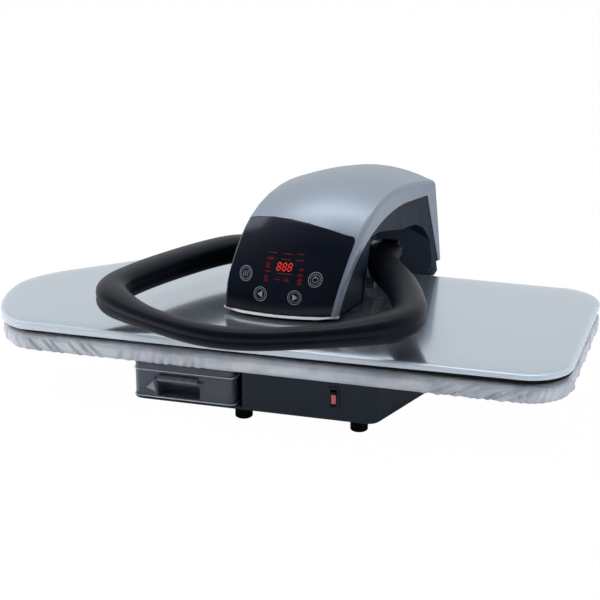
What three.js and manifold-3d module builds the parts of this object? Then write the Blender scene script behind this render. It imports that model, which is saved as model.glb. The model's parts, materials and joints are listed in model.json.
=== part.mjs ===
// Steam ironing press: a heated plate on a hinged arm above a padded board, with a handle loop,
// a front control head and a water tank that slides out of the base. Millimetres, +Z up.
// The drawing plane of every sub-part is the plate's own: x runs from the middle of the plate,
// y from its front edge and z from the floor. The last group moves the whole to its origin.
import * as THREE from 'three';
import { mergeVertices } from 'three/addons/utils/BufferGeometryUtils.js';
import Module from 'manifold-3d';

const wasm = await Module();
wasm.setup();

// Clearances
const touchGap = 0.3;
const runGap = 0.6;
const slideGap = 1.0;
const overrun = 4;

// Plate and board outline
const plateLength = 640;
const plateDepth = 280;
const cornerRadius = 47;
const noseDepth = 64;
const taperDepth = 102;
const taperStartX = 34;
const taperStartY = plateDepth - taperDepth;
const taperEndInset = 16;
const taperEndX = 128;
const taperEndY = plateDepth - taperEndInset;
const taperRunOut = 36;
const noseRearDepth = 68;
const noseMiddle = taperStartY - noseRearDepth;
const noseFrontShares = [0.42, 0.54];
const noseBackShares = [0.38, 0.7];

// The hinge stands behind the plate, and what it carries is placed from its axis
const hingeBehind = 26;
const hingeY = plateDepth + hingeBehind;
const headReach = 219;
const headFront = hingeY - headReach;

// Heights above the floor
const footHeight = 17;
const deckHeight = 74;
const boardTop = 93.4;
const soleBottom = 94.1;
const plateTop = 106;

// Plate stack
const coverSheet = 1.2;
const lipBottom = 97;
const lipRound = 4.5;
const rimStep = 6;
const rimEdge = 0.8;
const rimWidth = 14;
const rimTop = 100.4;
const rimLedge = 98.5;
const rimBottom = 94.5;
const soleTop = 101.5;
const steamHoleBore = 3;
const steamHoleCount = 7;
const steamRowSpan = 360;
const heaterBore = 6;
const heaterSpan = 430;
const plateShift = 20;
const heaterWidth = 120;
const heaterEndX = 26;
const thermostatSize = 18;
const thermostatHeight = 2.6;
const fuseLength = 16;
const fuseBore = 2.8;
const plateMiddleY = plateDepth / 2;

// Board
const clothThickness = 1.4;
const clothOut = 1;
const skirtBottom = 69.6;
const skirtTuck = 7;
const shoulder = 12;
const foldDepth = 1.5;
const foldCount = 18;
const clothSteps = 70;
const crownShare = 0.6;
const foldGroups = 7;
const padInset = 6;
const padCrown = 1;
const trayInset = 4;
const traySheet = 1.2;
const trayRim = 9;
const trayCorner = 3;

// Base
const baseFront = 38;
const baseBehindHinge = 39;
const baseRear = hingeY + baseBehindHinge;
const baseRight = 117;
const baseShoulder = [152, 150];
const baseLeft = -152;
const baseLeftRear = -164;
const bayRight = -28;
const bayToHinge = 92;
const bayRear = hingeY - bayToHinge;
const baseCorner = 14;
const baseWall = 3;
const shelfThickness = 3;
const bottomSheet = 1.5;
const footSize = 19;
const footEdge = 1;
const shellTop = 68;
const seatLeft = -14;
const seatRight = 101;
const seatFront = 52;
const seatToHinge = 64;
const seatRear = hingeY - seatToHinge;
const seatWall = 6;
const railWidth = 3;
const railHeight = 1;
const footInsetFront = 23;
const footInsetRear = 20;
const footRightX = 95;
const footLeftX = -33;
const footRearX = 118;
const ventSlotLength = 30;
const ventSlotWidth = 4;
const ventCount = 6;
const ventPitch = 10;
const ventX = 60;
const ventY = 120;

// Power switch
const switchX = 73.5;
const switchWidth = 9.6;
const switchHeight = 22;
const switchMiddle = 42;
const switchDepth = 18;
const bezel = 1.2;
const bezelThickness = 1.2;
const rockerAngle = THREE.MathUtils.degToRad(7);
const pinDepth = 4;
const pinBore = 2.4;
const pinReach = 0.9;
const rockerProfile = [
  [-7, 8.7], [-4.6, 0], [-7, -8.7], [0, -8.4], [3, -4], [3, 4], [0, 8.4],
];

// Inside the base
const glandBore = 8;
const glandFlange = 18;
const glandX = -95;
const glandHeight = 46;
const glandProud = 10;
const glandSheet = 3;
const pumpLength = 56;
const pumpSize = 30;
const pumpX = 10;
const pumpToHinge = 136;
const pumpY = hingeY - pumpToHinge;
const pumpFoot = 3;
const boardLength = 90;
const boardWidth = 60;
const boardSheet = 1.6;
const standoff = 6;
const powerBoardX = 70;
const powerBoardToHinge = 56;
const powerBoardY = hingeY - powerBoardToHinge;
const hoseBore = 7;
const hoseBend = 16;
const nozzleBore = 6;
const nozzleLength = 7;
const dockDepth = 14;
const boardRise = 22;
const partShares = [
  [0.12, 0.2, 0.22, 0.4, 0.22], [0.42, 0.15, 0.1, 0.5, 0.3], [0.6, 0.3, 0.26, 0.36, 0.2],
];

// Water tank
const tankLeft = -150;
const tankRight = -35;
const tankFront = 36;
const tankRearGap = 8;
const tankRear = bayRear - tankRearGap;
const tankTop = 58;
const tankWall = 2.2;
const tankCorner = 12;
const lidThickness = 5;
const lidFlange = 2;
const recessLeft = -122;
const recessRight = -74;
const recessBottom = 23;
const recessTop = 41;
const recessDepth = 17;
const browThickness = 2.4;
const browReach = 3.5;
const plugSize = 24;
const plugHeight = 3;
const plugX = -90;
const plugY = 62;
const valveX = -90;
const valveSize = 12;
const valveLength = 11;
const valveHeight = 34;
const lidStep = 6;
const lidRim = 4;

// Arm, tower and hinge
const armX = 22;
const armWidth = 60;
const armSheet = 3;
const armInset = 21;
const armFront = headFront + armInset;
const armFloor = 114;
const armFrontHeight = 12;
const armRearHeight = 46;
const armTail = 18;
const armFloorToHinge = 21;
const armFloorRear = hingeY - armFloorToHinge;
const hingeZ = 122;
const hingeBore = 12;
const towerSheet = 3;
const frameRound = 15.5;
const frameOpening = 12;
const webTop = 100;
const towerSkin = 2;
const towerFlange = 12;
const bushSkirt = 2;
const bushWall = 2;
const springWire = 2.4;
const springMean = 20;
const springTurns = 4;
const springPitch = 2.9;
const springStart = 2.4;
const springLeg = 30;
const springClear = 104;
const coilSteps = 7;
const mountWidth = 52;
const mountDepth = 70;
const mountInset = 4;
const mountY = armFront + mountInset;
const mountRound = 8;
const neckToHinge = 78;
const neckFront = hingeY - neckToHinge;
const neckLength = 56;
const neckRear = neckFront + neckLength;
const neckHalf = 36;
const neckTop = 152;
const neckFoot = 9;
const neckFootHeight = 6;
const pipeBore = 6;
const pipeRise = 12;
const pipeInset = 52;
const pipeY = armFront + pipeInset;

// Head cover: the edge profile in the y-z plane, and how far the walls stand from the middle
const headTail = 16;
const headRear = hingeY + headTail;
const headBottom = 110;
const headLeftFront = -64;
const headLeftLeanShare = 0.15;
const headRightFront = 62;
const headRightFlare = 60.5;
const headFlarePower = 1.5;
const headBulge = 9;
const headCrown = 13;
const headLean = 10;
const headSplay = 20;
const headEdgeRound = 6;
const headSkin = 2.6;
const headHeight = 109;
const headProfileShares = [
  [0, 0.027], [0.007, 0.125], [0.022, 0.239], [0.046, 0.353], [0.086, 0.485],
  [0.135, 0.611], [0.19, 0.728], [0.265, 0.84], [0.37, 0.937], [0.5, 0.99],
  [0.63, 1], [0.776, 0.971], [0.905, 0.922], [1.03, 0.864],
];
const headSteps = 17;
const headAcross = 8;
const edgeRoundSteps = 3;

// Openings and panels of the head
const fasciaBottom = 113;
const fasciaTop = 190;
const fasciaLeft = -6;
const fasciaRight = 6.5;
const fasciaLean = 5;
const fasciaDeep = 11;
const fasciaRound = 7;
const fasciaArch = 11;
const fasciaFlare = 16;
const trimHeight = 2.6;
const trimProud = 0.8;
const archFrontInset = 7;
const archFrontY = headFront + archFrontInset;
const archMiddleToHinge = 61;
const archMiddleY = hingeY - archMiddleToHinge;
const archTopZ = 197;
const archRearInset = 18;
const archRearY = headRear - archRearInset;
const archRearTopZ = 192;
const archFootInset = 3;
const archRearFootY = headRear - archFootInset;
const archRise = 57;
const archReach = [10, 72];
const cheekRecess = 0.8;

// Room for the handle's root in the right cheek, seen from above as [x, distance before the hinge]
// and from the side as [distance before the hinge, z]
const pocketPlan = [[58.7, 146], [58.7, 30], [120, -3], [150, -3], [150, 146]];
const pocketSide = [
  [146, 88], [146, 181], [122, 181], [64, 168], [31, 165], [15, 157], [-16, 118], [-16, 88],
];
const cheekTail = 92;
const cheekTailInset = 13;
const cheekTailY = headRear - cheekTailInset;
const notchTop = 146;
const undersideThickness = 2.5;
const undersideGap = 6;
const undersideRear = neckFront - undersideGap;
const ribFrontInset = 63;
const ribFrontY = headFront + ribFrontInset;
const ribRearInset = 60;
const ribRearY = headRear - ribRearInset;
const ribWidth = 6;

// Control electronics behind the fascia
const panelTilt = THREE.MathUtils.degToRad(31);
const panelInset = 21;
const panelMiddleY = headFront + panelInset;
const panelMiddleZ = 152;
const panelShift = 1;
const pcbWidth = 74;
const pcbHeight = 46;
const displayWidth = 38;
const displayHeight = 16;
const displayDepth = 7;
const displayRise = 6;

// Handle
const pivotToHinge = 50;
const pivotY = hingeY - pivotToHinge;
const pivotZ = 140.5;
const handleZ = 140;
const handleReach = 329;
const handleHalf = 158.5;
const handleShift = -7.5;
const gripArmWidth = 35;
const gripArmHeight = 30;
const gripRootHeight = 18;
const rootFromShare = 0.02;
const rootToShare = 0.17;
const gripBarWidth = 23;
const gripBarHeight = 22;
const gripGroove = 1.2;
const coreBore = 10;
const hubSize = 20;
const shaftBore = 12;
const ferruleBore = 15;
const rightHubX = [70, 88];
const leftHubOuter = -75;
const leftHubSink = 0.25;
const camReach = 19;
const camWidth = 16;
const handleHalfShares = [
  [0, 1], [0.2, 0.986], [0.4, 0.948], [0.6, 0.9], [0.76, 0.848], [0.9, 0.788], [0.985, 0.72],
  [1, 0.65], [0.95, 0.55], [0.81, 0.383], [0.6, 0.2],
];
const rightRootShares = [0.486, 0.055];
const leftRootShares = [-0.38, 0.055];
const gripSteps = 27;
const gripSides = 12;
const gripSquareness = 0.77;
const gripFlat = 0.01;
const slimFromShare = 0.76;
const slimToShare = 0.93;

const weldTolerance = 1e-4;
const towerHalf = armWidth / 2 - armSheet - runGap;
const towerInside = towerHalf - towerSkin;
const frameHalf = towerInside - touchGap;

// The origin lies on the floor, under the middle of the whole press
const originY = (pivotY - handleReach - gripBarWidth / 2 + gripGroove + baseRear + glandProud) / 2;

// Materials
const finish = (color, roughness, metalness = 0) =>
  new THREE.MeshStandardMaterial({ color, roughness, metalness });
const silverPaint = () => finish(0x9aa3ad, 0.3, 0.5);
const blackPlastic = () => finish(0x24272d, 0.5);
const softBlack = () => finish(0x1c1e22, 0.62);
const glossBlack = () => finish(0x0e1118, 0.08);
const brightSteel = () => finish(0xd5d8dc, 0.15, 1);
const zincSteel = () => finish(0x9b9fa3, 0.4, 0.9);
const castAluminium = () => finish(0xb9bcbe, 0.45, 0.8);
const rubber = () => finish(0x161616, 0.85);
const smokeClear = () => finish(0x55606e, 0.12);
const silverCloth = () => finish(0xb3b6bb, 0.5, 0.2);
const foam = () => finish(0xe2ddd0, 0.95);
const circuitGreen = () => finish(0x1f5b3a, 0.6);
const brass = () => finish(0xb08d4c, 0.35, 0.9);
const whiteNylon = () => finish(0xdedcd4, 0.5);
const redLens = () => finish(0xb0302c, 0.25);

const press = new THREE.Group();

// Adds one named piece to a body's group
function piece(body, name, shape, material) {
  const mesh = new THREE.Mesh(shape.isBufferGeometry ? shape : geometryOf(shape), material);
  mesh.name = name;
  body.add(mesh);
}

// A closed geometry as a solid that can be joined and cut
function solid(geometry) {
  const bare = geometry.clone();
  for (const key of Object.keys(bare.attributes)) {
    if (key !== 'position') bare.deleteAttribute(key);
  }
  const merged = mergeVertices(bare, weldTolerance);
  const source = merged.index.array;
  const kept = [];
  for (let i = 0; i < source.length; i += 3) {
    const [u, v, w] = [source[i], source[i + 1], source[i + 2]];
    if (u !== v && v !== w && w !== u) kept.push(u, v, w);
  }
  merged.setIndex(kept);
  outward(merged);
  const mesh = new wasm.Mesh({
    numProp: 3,
    vertProperties: new Float32Array(merged.attributes.position.array),
    triVerts: new Uint32Array(merged.index.array),
  });
  return new wasm.Manifold(mesh);
}

function geometryOf(body) {
  const mesh = body.getMesh();
  const geometry = new THREE.BufferGeometry();
  geometry.setAttribute('position', new THREE.BufferAttribute(mesh.vertProperties, 3));
  geometry.setIndex(new THREE.BufferAttribute(mesh.triVerts, 1));
  return geometry;
}

const join = (...bodies) => bodies.reduce((all, body) => all.add(body));
const cut = (body, ...tools) => tools.reduce((rest, tool) => rest.subtract(tool), body);
const common = (body, tool) => body.intersect(tool);

// Turned body about an upright axis, its profile written as [radius, height] pairs
function turned(profile, x, y, sides = 16) {
  const points = profile.map(([radius, height]) => new THREE.Vector2(radius, height));
  return solid(new THREE.LatheGeometry(points, sides).rotateX(Math.PI / 2).translate(x, y, 0));
}

// Box between two corners
function block(x0, x1, y0, y1, z0, z1) {
  const geometry = new THREE.BoxGeometry(x1 - x0, y1 - y0, z1 - z0);
  return solid(geometry.translate((x0 + x1) / 2, (y0 + y1) / 2, (z0 + z1) / 2));
}

// Outline in x-y, raised from one height to another
function upright(shape, z0, z1, curveSegments = 5) {
  const geometry = new THREE.ExtrudeGeometry(shape, {
    depth: z1 - z0, bevelEnabled: false, curveSegments,
  });
  return solid(geometry.translate(0, 0, z0));
}

// Outline in y-z, drawn with its first coordinate along y, from one x to another
function sideways(shape, x0, x1, curveSegments = 5) {
  const geometry = new THREE.ExtrudeGeometry(shape, {
    depth: x1 - x0, bevelEnabled: false, curveSegments,
  });
  const turn = new THREE.Matrix4().set(0, 0, 1, x0, 1, 0, 0, 0, 0, 1, 0, 0, 0, 0, 0, 1);
  return solid(geometry.applyMatrix4(turn));
}

// Outline in x-z, from one y to another
function frontal(shape, y0, y1, curveSegments = 5) {
  const geometry = new THREE.ExtrudeGeometry(shape, {
    depth: y1 - y0, bevelEnabled: false, curveSegments,
  });
  const turn = new THREE.Matrix4().set(1, 0, 0, 0, 0, 0, -1, y1, 0, 1, 0, 0, 0, 0, 0, 1);
  return solid(geometry.applyMatrix4(turn));
}

// Round bars along each axis
function rod(radius, x0, x1, y, z, sides = 16) {
  const geometry = new THREE.CylinderGeometry(radius, radius, x1 - x0, sides).rotateZ(Math.PI / 2);
  return solid(geometry.translate((x0 + x1) / 2, y, z));
}
function post(radius, x, y, z0, z1, sides = 16) {
  const geometry = new THREE.CylinderGeometry(radius, radius, z1 - z0, sides).rotateX(Math.PI / 2);
  return solid(geometry.translate(x, y, (z0 + z1) / 2));
}
function spigot(radius, x, y0, y1, z, sides = 16) {
  const geometry = new THREE.CylinderGeometry(radius, radius, y1 - y0, sides);
  return solid(geometry.translate(x, (y0 + y1) / 2, z));
}

// Polygon with its corners rounded, each corner written as [x, y, radius]
function roundedShape(corners) {
  const shape = new THREE.Shape();
  const count = corners.length;
  corners.forEach(([x, y, radius], i) => {
    const here = new THREE.Vector2(x, y);
    const [px, py] = corners[(i + count - 1) % count];
    const [nx, ny] = corners[(i + 1) % count];
    const back = new THREE.Vector2(px, py).sub(here).normalize();
    const ahead = new THREE.Vector2(nx, ny).sub(here).normalize();
    const half = Math.acos(THREE.MathUtils.clamp(back.dot(ahead), -1, 1)) / 2;
    const reach = radius / Math.tan(half);
    const from = here.clone().addScaledVector(back, reach);
    const to = here.clone().addScaledVector(ahead, reach);
    if (i === 0) shape.moveTo(from.x, from.y);
    else shape.lineTo(from.x, from.y);
    if (radius > 0) shape.quadraticCurveTo(here.x, here.y, to.x, to.y);
  });
  return shape;
}

// Closed body through a chain of rings with equal point counts, either led round from the last
// ring to the first or capped at both ends
function ringBody(rings, closed = false, capOf = fanCap) {
  const count = rings[0].length;
  const spans = closed ? rings.length : rings.length - 1;
  const points = rings.flat();
  const index = [];
  for (let r = 0; r < spans; r += 1) {
    const here = r * count;
    const next = ((r + 1) % rings.length) * count;
    for (let i = 0; i < count; i += 1) {
      const j = (i + 1) % count;
      index.push(here + i, here + j, next + j, here + i, next + j, next + i);
    }
  }
  if (!closed) {
    index.push(...capOf(points, 0, count, true));
    index.push(...capOf(points, (rings.length - 1) * count, count, false));
  }
  const geometry = new THREE.BufferGeometry();
  const places = points.flatMap((point) => [point.x, point.y, point.z]);
  geometry.setAttribute('position', new THREE.Float32BufferAttribute(places, 3));
  geometry.setIndex(index);
  return outward(geometry);
}

// Triangles from a new middle point to the ring that starts at one index
function fanCap(points, first, count, reverse) {
  const middle = new THREE.Vector3();
  for (let i = 0; i < count; i += 1) middle.addScaledVector(points[first + i], 1 / count);
  points.push(middle);
  const hub = points.length - 1;
  const index = [];
  for (let i = 0; i < count; i += 1) {
    const [here, next] = [first + i, first + ((i + 1) % count)];
    if (reverse) index.push(next, here, hub);
    else index.push(here, next, hub);
  }
  return index;
}

// The same geometry with its faces turned outward
function outward(geometry) {
  const place = geometry.attributes.position;
  const index = geometry.index.array;
  const [a, b, c] = [new THREE.Vector3(), new THREE.Vector3(), new THREE.Vector3()];
  let volume = 0;
  for (let i = 0; i < index.length; i += 3) {
    a.fromBufferAttribute(place, index[i]);
    b.fromBufferAttribute(place, index[i + 1]);
    c.fromBufferAttribute(place, index[i + 2]);
    volume += a.dot(b.cross(c));
  }
  if (volume < 0) index.reverse();
  return geometry;
}

// Round or oval tube along a curve
function tube(curve, radius, sides, steps) {
  const section = new THREE.Shape();
  for (let i = 0; i < sides; i += 1) {
    const angle = (i / sides) * Math.PI * 2;
    const [u, v] = [radius * Math.cos(angle), radius * Math.sin(angle)];
    if (i === 0) section.moveTo(u, v);
    else section.lineTo(u, v);
  }
  return solid(new THREE.ExtrudeGeometry(section, { steps, extrudePath: curve }));
}
const smoothPath = (points) =>
  new THREE.CatmullRomCurve3(points.map(([x, y, z]) => new THREE.Vector3(x, y, z)), false, 'centripetal');

// Outline moved inward by a distance, or outward where it is negative
function inset(points, distance) {
  const side = Math.sign(THREE.ShapeUtils.area(points));
  return points.map((point, i) => {
    const before = points[(i + points.length - 1) % points.length];
    const after = points[(i + 1) % points.length];
    const into = new THREE.Vector2().subVectors(point, before).normalize();
    const out = new THREE.Vector2().subVectors(after, point).normalize();
    const mitre = new THREE.Vector2(-into.y - out.y, into.x + out.x);
    return point.clone().addScaledVector(mitre, (side * distance) / (1 + into.dot(out)));
  });
}

// Outline of the plate and the board: round nose on the left, a taper behind it and a square
// right end with rounded corners
function plateShape() {
  const right = plateLength / 2;
  const left = -right;
  const taperSlope = (taperEndX - taperStartX) / (taperEndY - taperStartY);
  const shape = new THREE.Shape();
  shape.moveTo(left + noseDepth, 0);
  shape.bezierCurveTo(
    left + noseDepth * noseFrontShares[0], 0,
    left, noseMiddle * noseFrontShares[1],
    left, noseMiddle);
  shape.bezierCurveTo(
    left, noseMiddle + (taperStartY - noseMiddle) * noseBackShares[0],
    left + taperStartX * noseFrontShares[0],
    noseMiddle + (taperStartY - noseMiddle) * noseBackShares[1],
    left + taperStartX, taperStartY);
  shape.lineTo(left + taperEndX, taperEndY);
  shape.quadraticCurveTo(
    left + taperEndX + (plateDepth - taperEndY) * taperSlope, plateDepth,
    left + taperEndX + taperRunOut, plateDepth);
  shape.lineTo(right - cornerRadius, plateDepth);
  shape.absarc(right - cornerRadius, plateDepth - cornerRadius, cornerRadius, Math.PI / 2, 0, true);
  shape.lineTo(right, cornerRadius);
  shape.absarc(right - cornerRadius, cornerRadius, cornerRadius, 0, -Math.PI / 2, true);
  return shape;
}
const openLoop = (points) =>
  (points[0].distanceTo(points.at(-1)) < touchGap ? points.slice(0, -1) : points);
const plateOutline = openLoop(plateShape().getPoints(5));
const boardOutline = openLoop(plateShape().getSpacedPoints(clothSteps));

// Outline drawn toward the middle of the plate by a share
const shrunk = (points, share) =>
  points.map(({ x, y }) => new THREE.Vector2(x * share, plateMiddleY + (y - plateMiddleY) * share));

// Flat-lying body whose rings are the outline, each drawn in by a station's inset at its height
function dish(outline, stations, closed = false) {
  const rings = stations.map(([drawnIn, z, share = 1]) =>
    shrunk(inset(outline, drawnIn), share).map((point) => new THREE.Vector3(point.x, point.y, z)));
  return ringBody(rings, closed);
}

// Base: moulded shell with the tank bay, its floor plate, feet and cord gland
function buildBase(body) {
  const corners = [
    [bayRight, baseFront, baseWall], [baseRight, baseFront, baseCorner],
    [...baseShoulder, baseCorner * 3], [baseShoulder[0], baseRear, baseCorner],
    [baseLeftRear, baseRear, baseCorner],
    [baseLeft, bayRear, baseWall], [bayRight, bayRear, 0],
  ];
  const outline = (drawnIn) => {
    const places = inset(corners.map(([x, y]) => new THREE.Vector2(x, y)), drawnIn);
    return roundedShape(places.map(({ x, y }, i) => [x, y, Math.max(0, corners[i][2] - drawnIn)]));
  };
  const shelf = roundedShape([
    [baseLeft, baseFront, baseCorner], [bayRight + baseWall, baseFront, 0],
    [bayRight + baseWall, bayRear + baseWall, 0], [baseLeft, bayRear + baseWall, 0],
  ]);
  const shelfTop = footHeight + shelfThickness;
  const rails = [tankLeft + tankCorner, tankRight - tankCorner].map((x) =>
    block(x - railWidth / 2, x + railWidth / 2, baseFront + overrun, bayRear + baseWall / 2,
      shelfTop - railHeight, shelfTop + railHeight));
  const seat = (drawnIn, z0, z1) => upright(roundedShape([
    [seatLeft + drawnIn, seatFront + drawnIn, baseCorner],
    [seatRight - drawnIn, seatFront + drawnIn, baseCorner],
    [seatRight - drawnIn, seatRear - drawnIn, baseCorner],
    [seatLeft + drawnIn, seatRear - drawnIn, baseCorner],
  ]), z0, z1);
  const shell = cut(
    join(
      upright(outline(0), footHeight, shellTop),
      upright(shelf, footHeight, shelfTop),
      cut(seat(0, shellTop - baseWall / 2, deckHeight),
        seat(seatWall, shellTop - baseWall, deckHeight + overrun)),
      ...rails),
    upright(outline(baseWall), footHeight - overrun, shellTop - baseWall),
    block(armX - towerInside, armX + towerInside, hingeY - frameRound - touchGap,
      hingeY + frameRound + touchGap, shellTop - baseWall - overrun, deckHeight),
    block(switchX - switchWidth / 2 - touchGap, switchX + switchWidth / 2 + touchGap,
      baseFront - overrun, baseFront + baseWall + overrun,
      switchMiddle - switchHeight / 2 - touchGap, switchMiddle + switchHeight / 2 + touchGap),
    spigot(glandBore / 2 + glandSheet + touchGap, glandX, baseRear - baseWall - overrun,
      baseRear + overrun, glandHeight),
    spigot(valveSize / 2 + runGap, valveX, bayRear - overrun, bayRear + baseWall + overrun, valveHeight));
  piece(body, 'base_shell', shell, blackPlastic());

  const slots = [];
  for (let i = 0; i < ventCount; i += 1) {
    const x = ventX + (i - (ventCount - 1) / 2) * ventPitch;
    slots.push(block(x - ventSlotWidth / 2, x + ventSlotWidth / 2,
      ventY - ventSlotLength / 2, ventY + ventSlotLength / 2, 0, shellTop));
  }
  const floor = upright(outline(baseWall + touchGap), footHeight, footHeight + bottomSheet);
  piece(body, 'base_floor_plate', cut(floor, ...slots), zincSteel());

  const feet = {
    foot_front_right: [footRightX, baseFront + footInsetFront],
    foot_front_left: [footLeftX, baseFront + footInsetFront],
    foot_rear_right: [footRearX, baseRear - footInsetRear],
    foot_rear_left: [-footRearX, baseRear - footInsetRear],
  };
  const footProfile = [
    [0, 0], [footSize / 2 - footEdge, 0], [footSize / 2, footEdge],
    [footSize / 2, footHeight - touchGap], [0, footHeight - touchGap],
  ];
  for (const [name, [x, y]] of Object.entries(feet)) {
    piece(body, name, turned(footProfile, x, y), rubber());
  }

  const sleeve = glandBore / 2 + glandSheet;
  const outside = baseRear + touchGap;
  const gland = join(
    spigot(sleeve, glandX, baseRear - baseWall - overrun, baseRear + overrun, glandHeight),
    spigot(glandFlange / 2, glandX, outside, outside + glandSheet, glandHeight),
    solid(new THREE.CylinderGeometry(sleeve - bezel, sleeve, glandProud - touchGap, 24)
      .translate(glandX, (outside + baseRear + glandProud) / 2, glandHeight)));
  piece(body, 'cord_gland', cut(gland,
    spigot(glandBore / 2, glandX, baseRear - baseWall - overrun * 2, outside + glandProud + overrun,
      glandHeight)), rubber());
}

// Rocker switch: housing in the base's front wall and the rocker on its two stub pins
function buildSwitch(body, rockerBody) {
  const pinY = baseFront + pinDepth;
  const [halfWidth, halfHeight] = [switchWidth / 2, switchHeight / 2];
  const front = baseFront - touchGap;
  const housing = cut(
    join(
      block(switchX - halfWidth - bezel, switchX + halfWidth + bezel, front - bezelThickness, front,
        switchMiddle - halfHeight - bezel, switchMiddle + halfHeight + bezel),
      block(switchX - halfWidth, switchX + halfWidth, front - bezelThickness / 2,
        front + switchDepth, switchMiddle - halfHeight, switchMiddle + halfHeight)),
    block(switchX - halfWidth + bezel, switchX + halfWidth - bezel, front - overrun,
      front + switchDepth - bezel, switchMiddle - halfHeight + bezel,
      switchMiddle + halfHeight - bezel),
    rod(pinBore / 2 + touchGap, switchX - halfWidth + bezel - pinReach - touchGap,
      switchX + halfWidth - bezel + pinReach + touchGap, pinY, switchMiddle, 12));
  piece(body, 'switch_housing', housing, glossBlack());

  const profile = new THREE.Shape(rockerProfile.map(([dy, dz]) =>
    new THREE.Vector2(dy, dz).rotateAround(new THREE.Vector2(), rockerAngle)
      .add(new THREE.Vector2(pinY, switchMiddle))));
  const rockerHalf = halfWidth - bezel - touchGap;
  const rocker = join(
    sideways(profile, switchX - rockerHalf, switchX + rockerHalf),
    rod(pinBore / 2, switchX - rockerHalf - pinReach, switchX + rockerHalf + pinReach,
      pinY, switchMiddle, 12));
  piece(rockerBody, 'power_rocker', rocker, redLens());
}

// Pump, hoses, dock and mains board on the floor plate
function buildInside(body) {
  const floorTop = footHeight + bottomSheet + touchGap;
  const pumpZ = floorTop + pumpFoot + pumpSize / 2;
  const [pumpFront, pumpRear] = [pumpY - pumpLength / 2, pumpY + pumpLength / 2];
  const pump = join(
    spigot(pumpSize / 2, pumpX, pumpFront, pumpRear, pumpZ),
    block(pumpX - pumpSize / 2, pumpX + pumpSize / 2, pumpFront + pumpFoot, pumpRear - pumpFoot,
      floorTop, floorTop + pumpFoot + pumpSize / 4),
    spigot(nozzleBore / 2, pumpX, pumpFront - nozzleLength, pumpFront + pumpFoot, pumpZ, 16),
    spigot(nozzleBore / 2, pumpX, pumpRear - pumpFoot, pumpRear + nozzleLength, pumpZ, 16));
  piece(body, 'water_pump', pump, blackPlastic());

  const dockFront = bayRear + baseWall + touchGap;
  const dock = cut(
    join(
      spigot(valveSize / 2 + runGap + baseWall, valveX, dockFront, dockFront + dockDepth, valveHeight),
      spigot(nozzleBore / 2, valveX, dockFront + dockDepth / 2,
        dockFront + dockDepth + nozzleLength, valveHeight, 16)),
    spigot(valveSize / 2 + runGap, valveX, dockFront - overrun,
      dockFront + dockDepth - baseWall, valveHeight));
  piece(body, 'tank_dock', dock, whiteNylon());

  const dockEnd = dockFront + dockDepth + nozzleLength + touchGap;
  const inlet = [
    [valveX, dockEnd, valveHeight], [valveX, dockEnd + hoseBend / 2, valveHeight],
    [valveX + hoseBend, dockEnd + hoseBend * 1.5, valveHeight],
    [pumpX - hoseBend * 1.5, dockEnd + hoseBend * 1.5, pumpZ],
    [pumpX, dockEnd + hoseBend * 0.6, pumpZ],
    [pumpX, pumpRear + nozzleLength * 2, pumpZ], [pumpX, pumpRear + nozzleLength + touchGap, pumpZ],
  ];
  piece(body, 'inlet_hose', tube(smoothPath(inlet), hoseBore / 2, 6, 18), rubber());
  const outFront = pumpFront - nozzleLength - touchGap;
  const riser = hingeY - frameRound + towerSheet + hoseBore;
  const lane = pumpX + pumpSize;
  const outlet = [
    [pumpX, outFront, pumpZ], [pumpX, outFront - hoseBend / 2, pumpZ],
    [pumpX + pumpSize / 2, outFront - hoseBend * 1.4, pumpZ], [lane, outFront, pumpZ],
    [lane, pumpRear - hoseBend, pumpZ], [lane, pumpRear + hoseBend, pumpZ + boardRise],
    [lane - hoseBend / 2, riser - hoseBend * 2, pumpZ + boardRise],
    [armX, riser - frameOpening, pumpZ + boardRise], [armX, riser, pumpZ + boardRise + hoseBend],
    [armX, riser, springClear],
  ];
  piece(body, 'outlet_hose', tube(smoothPath(outlet), hoseBore / 2, 6, 26), rubber());

  const top = floorTop + standoff + boardSheet;
  const [x0, x1] = [powerBoardX - boardLength / 2, powerBoardX + boardLength / 2];
  const [y0, y1] = [powerBoardY - boardWidth / 2, powerBoardY + boardWidth / 2];
  const posts = [x0 + standoff, x1 - standoff].flatMap((x) =>
    [y0 + standoff, y1 - standoff].map((y) =>
      post(standoff / 2, x, y, floorTop, top - boardSheet / 2, 12)));
  const parts = partShares.map(([u, v, w, d, h]) => {
    const [x, y] = [x0 + boardLength * u, y0 + boardWidth * v];
    return block(x, x + boardLength * w, y, y + boardWidth * d, top - boardSheet / 2,
      top + boardLength * h);
  });
  piece(body, 'mains_board', join(block(x0, x1, y0, y1, top - boardSheet, top), ...posts, ...parts),
    circuitGreen());
}

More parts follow.
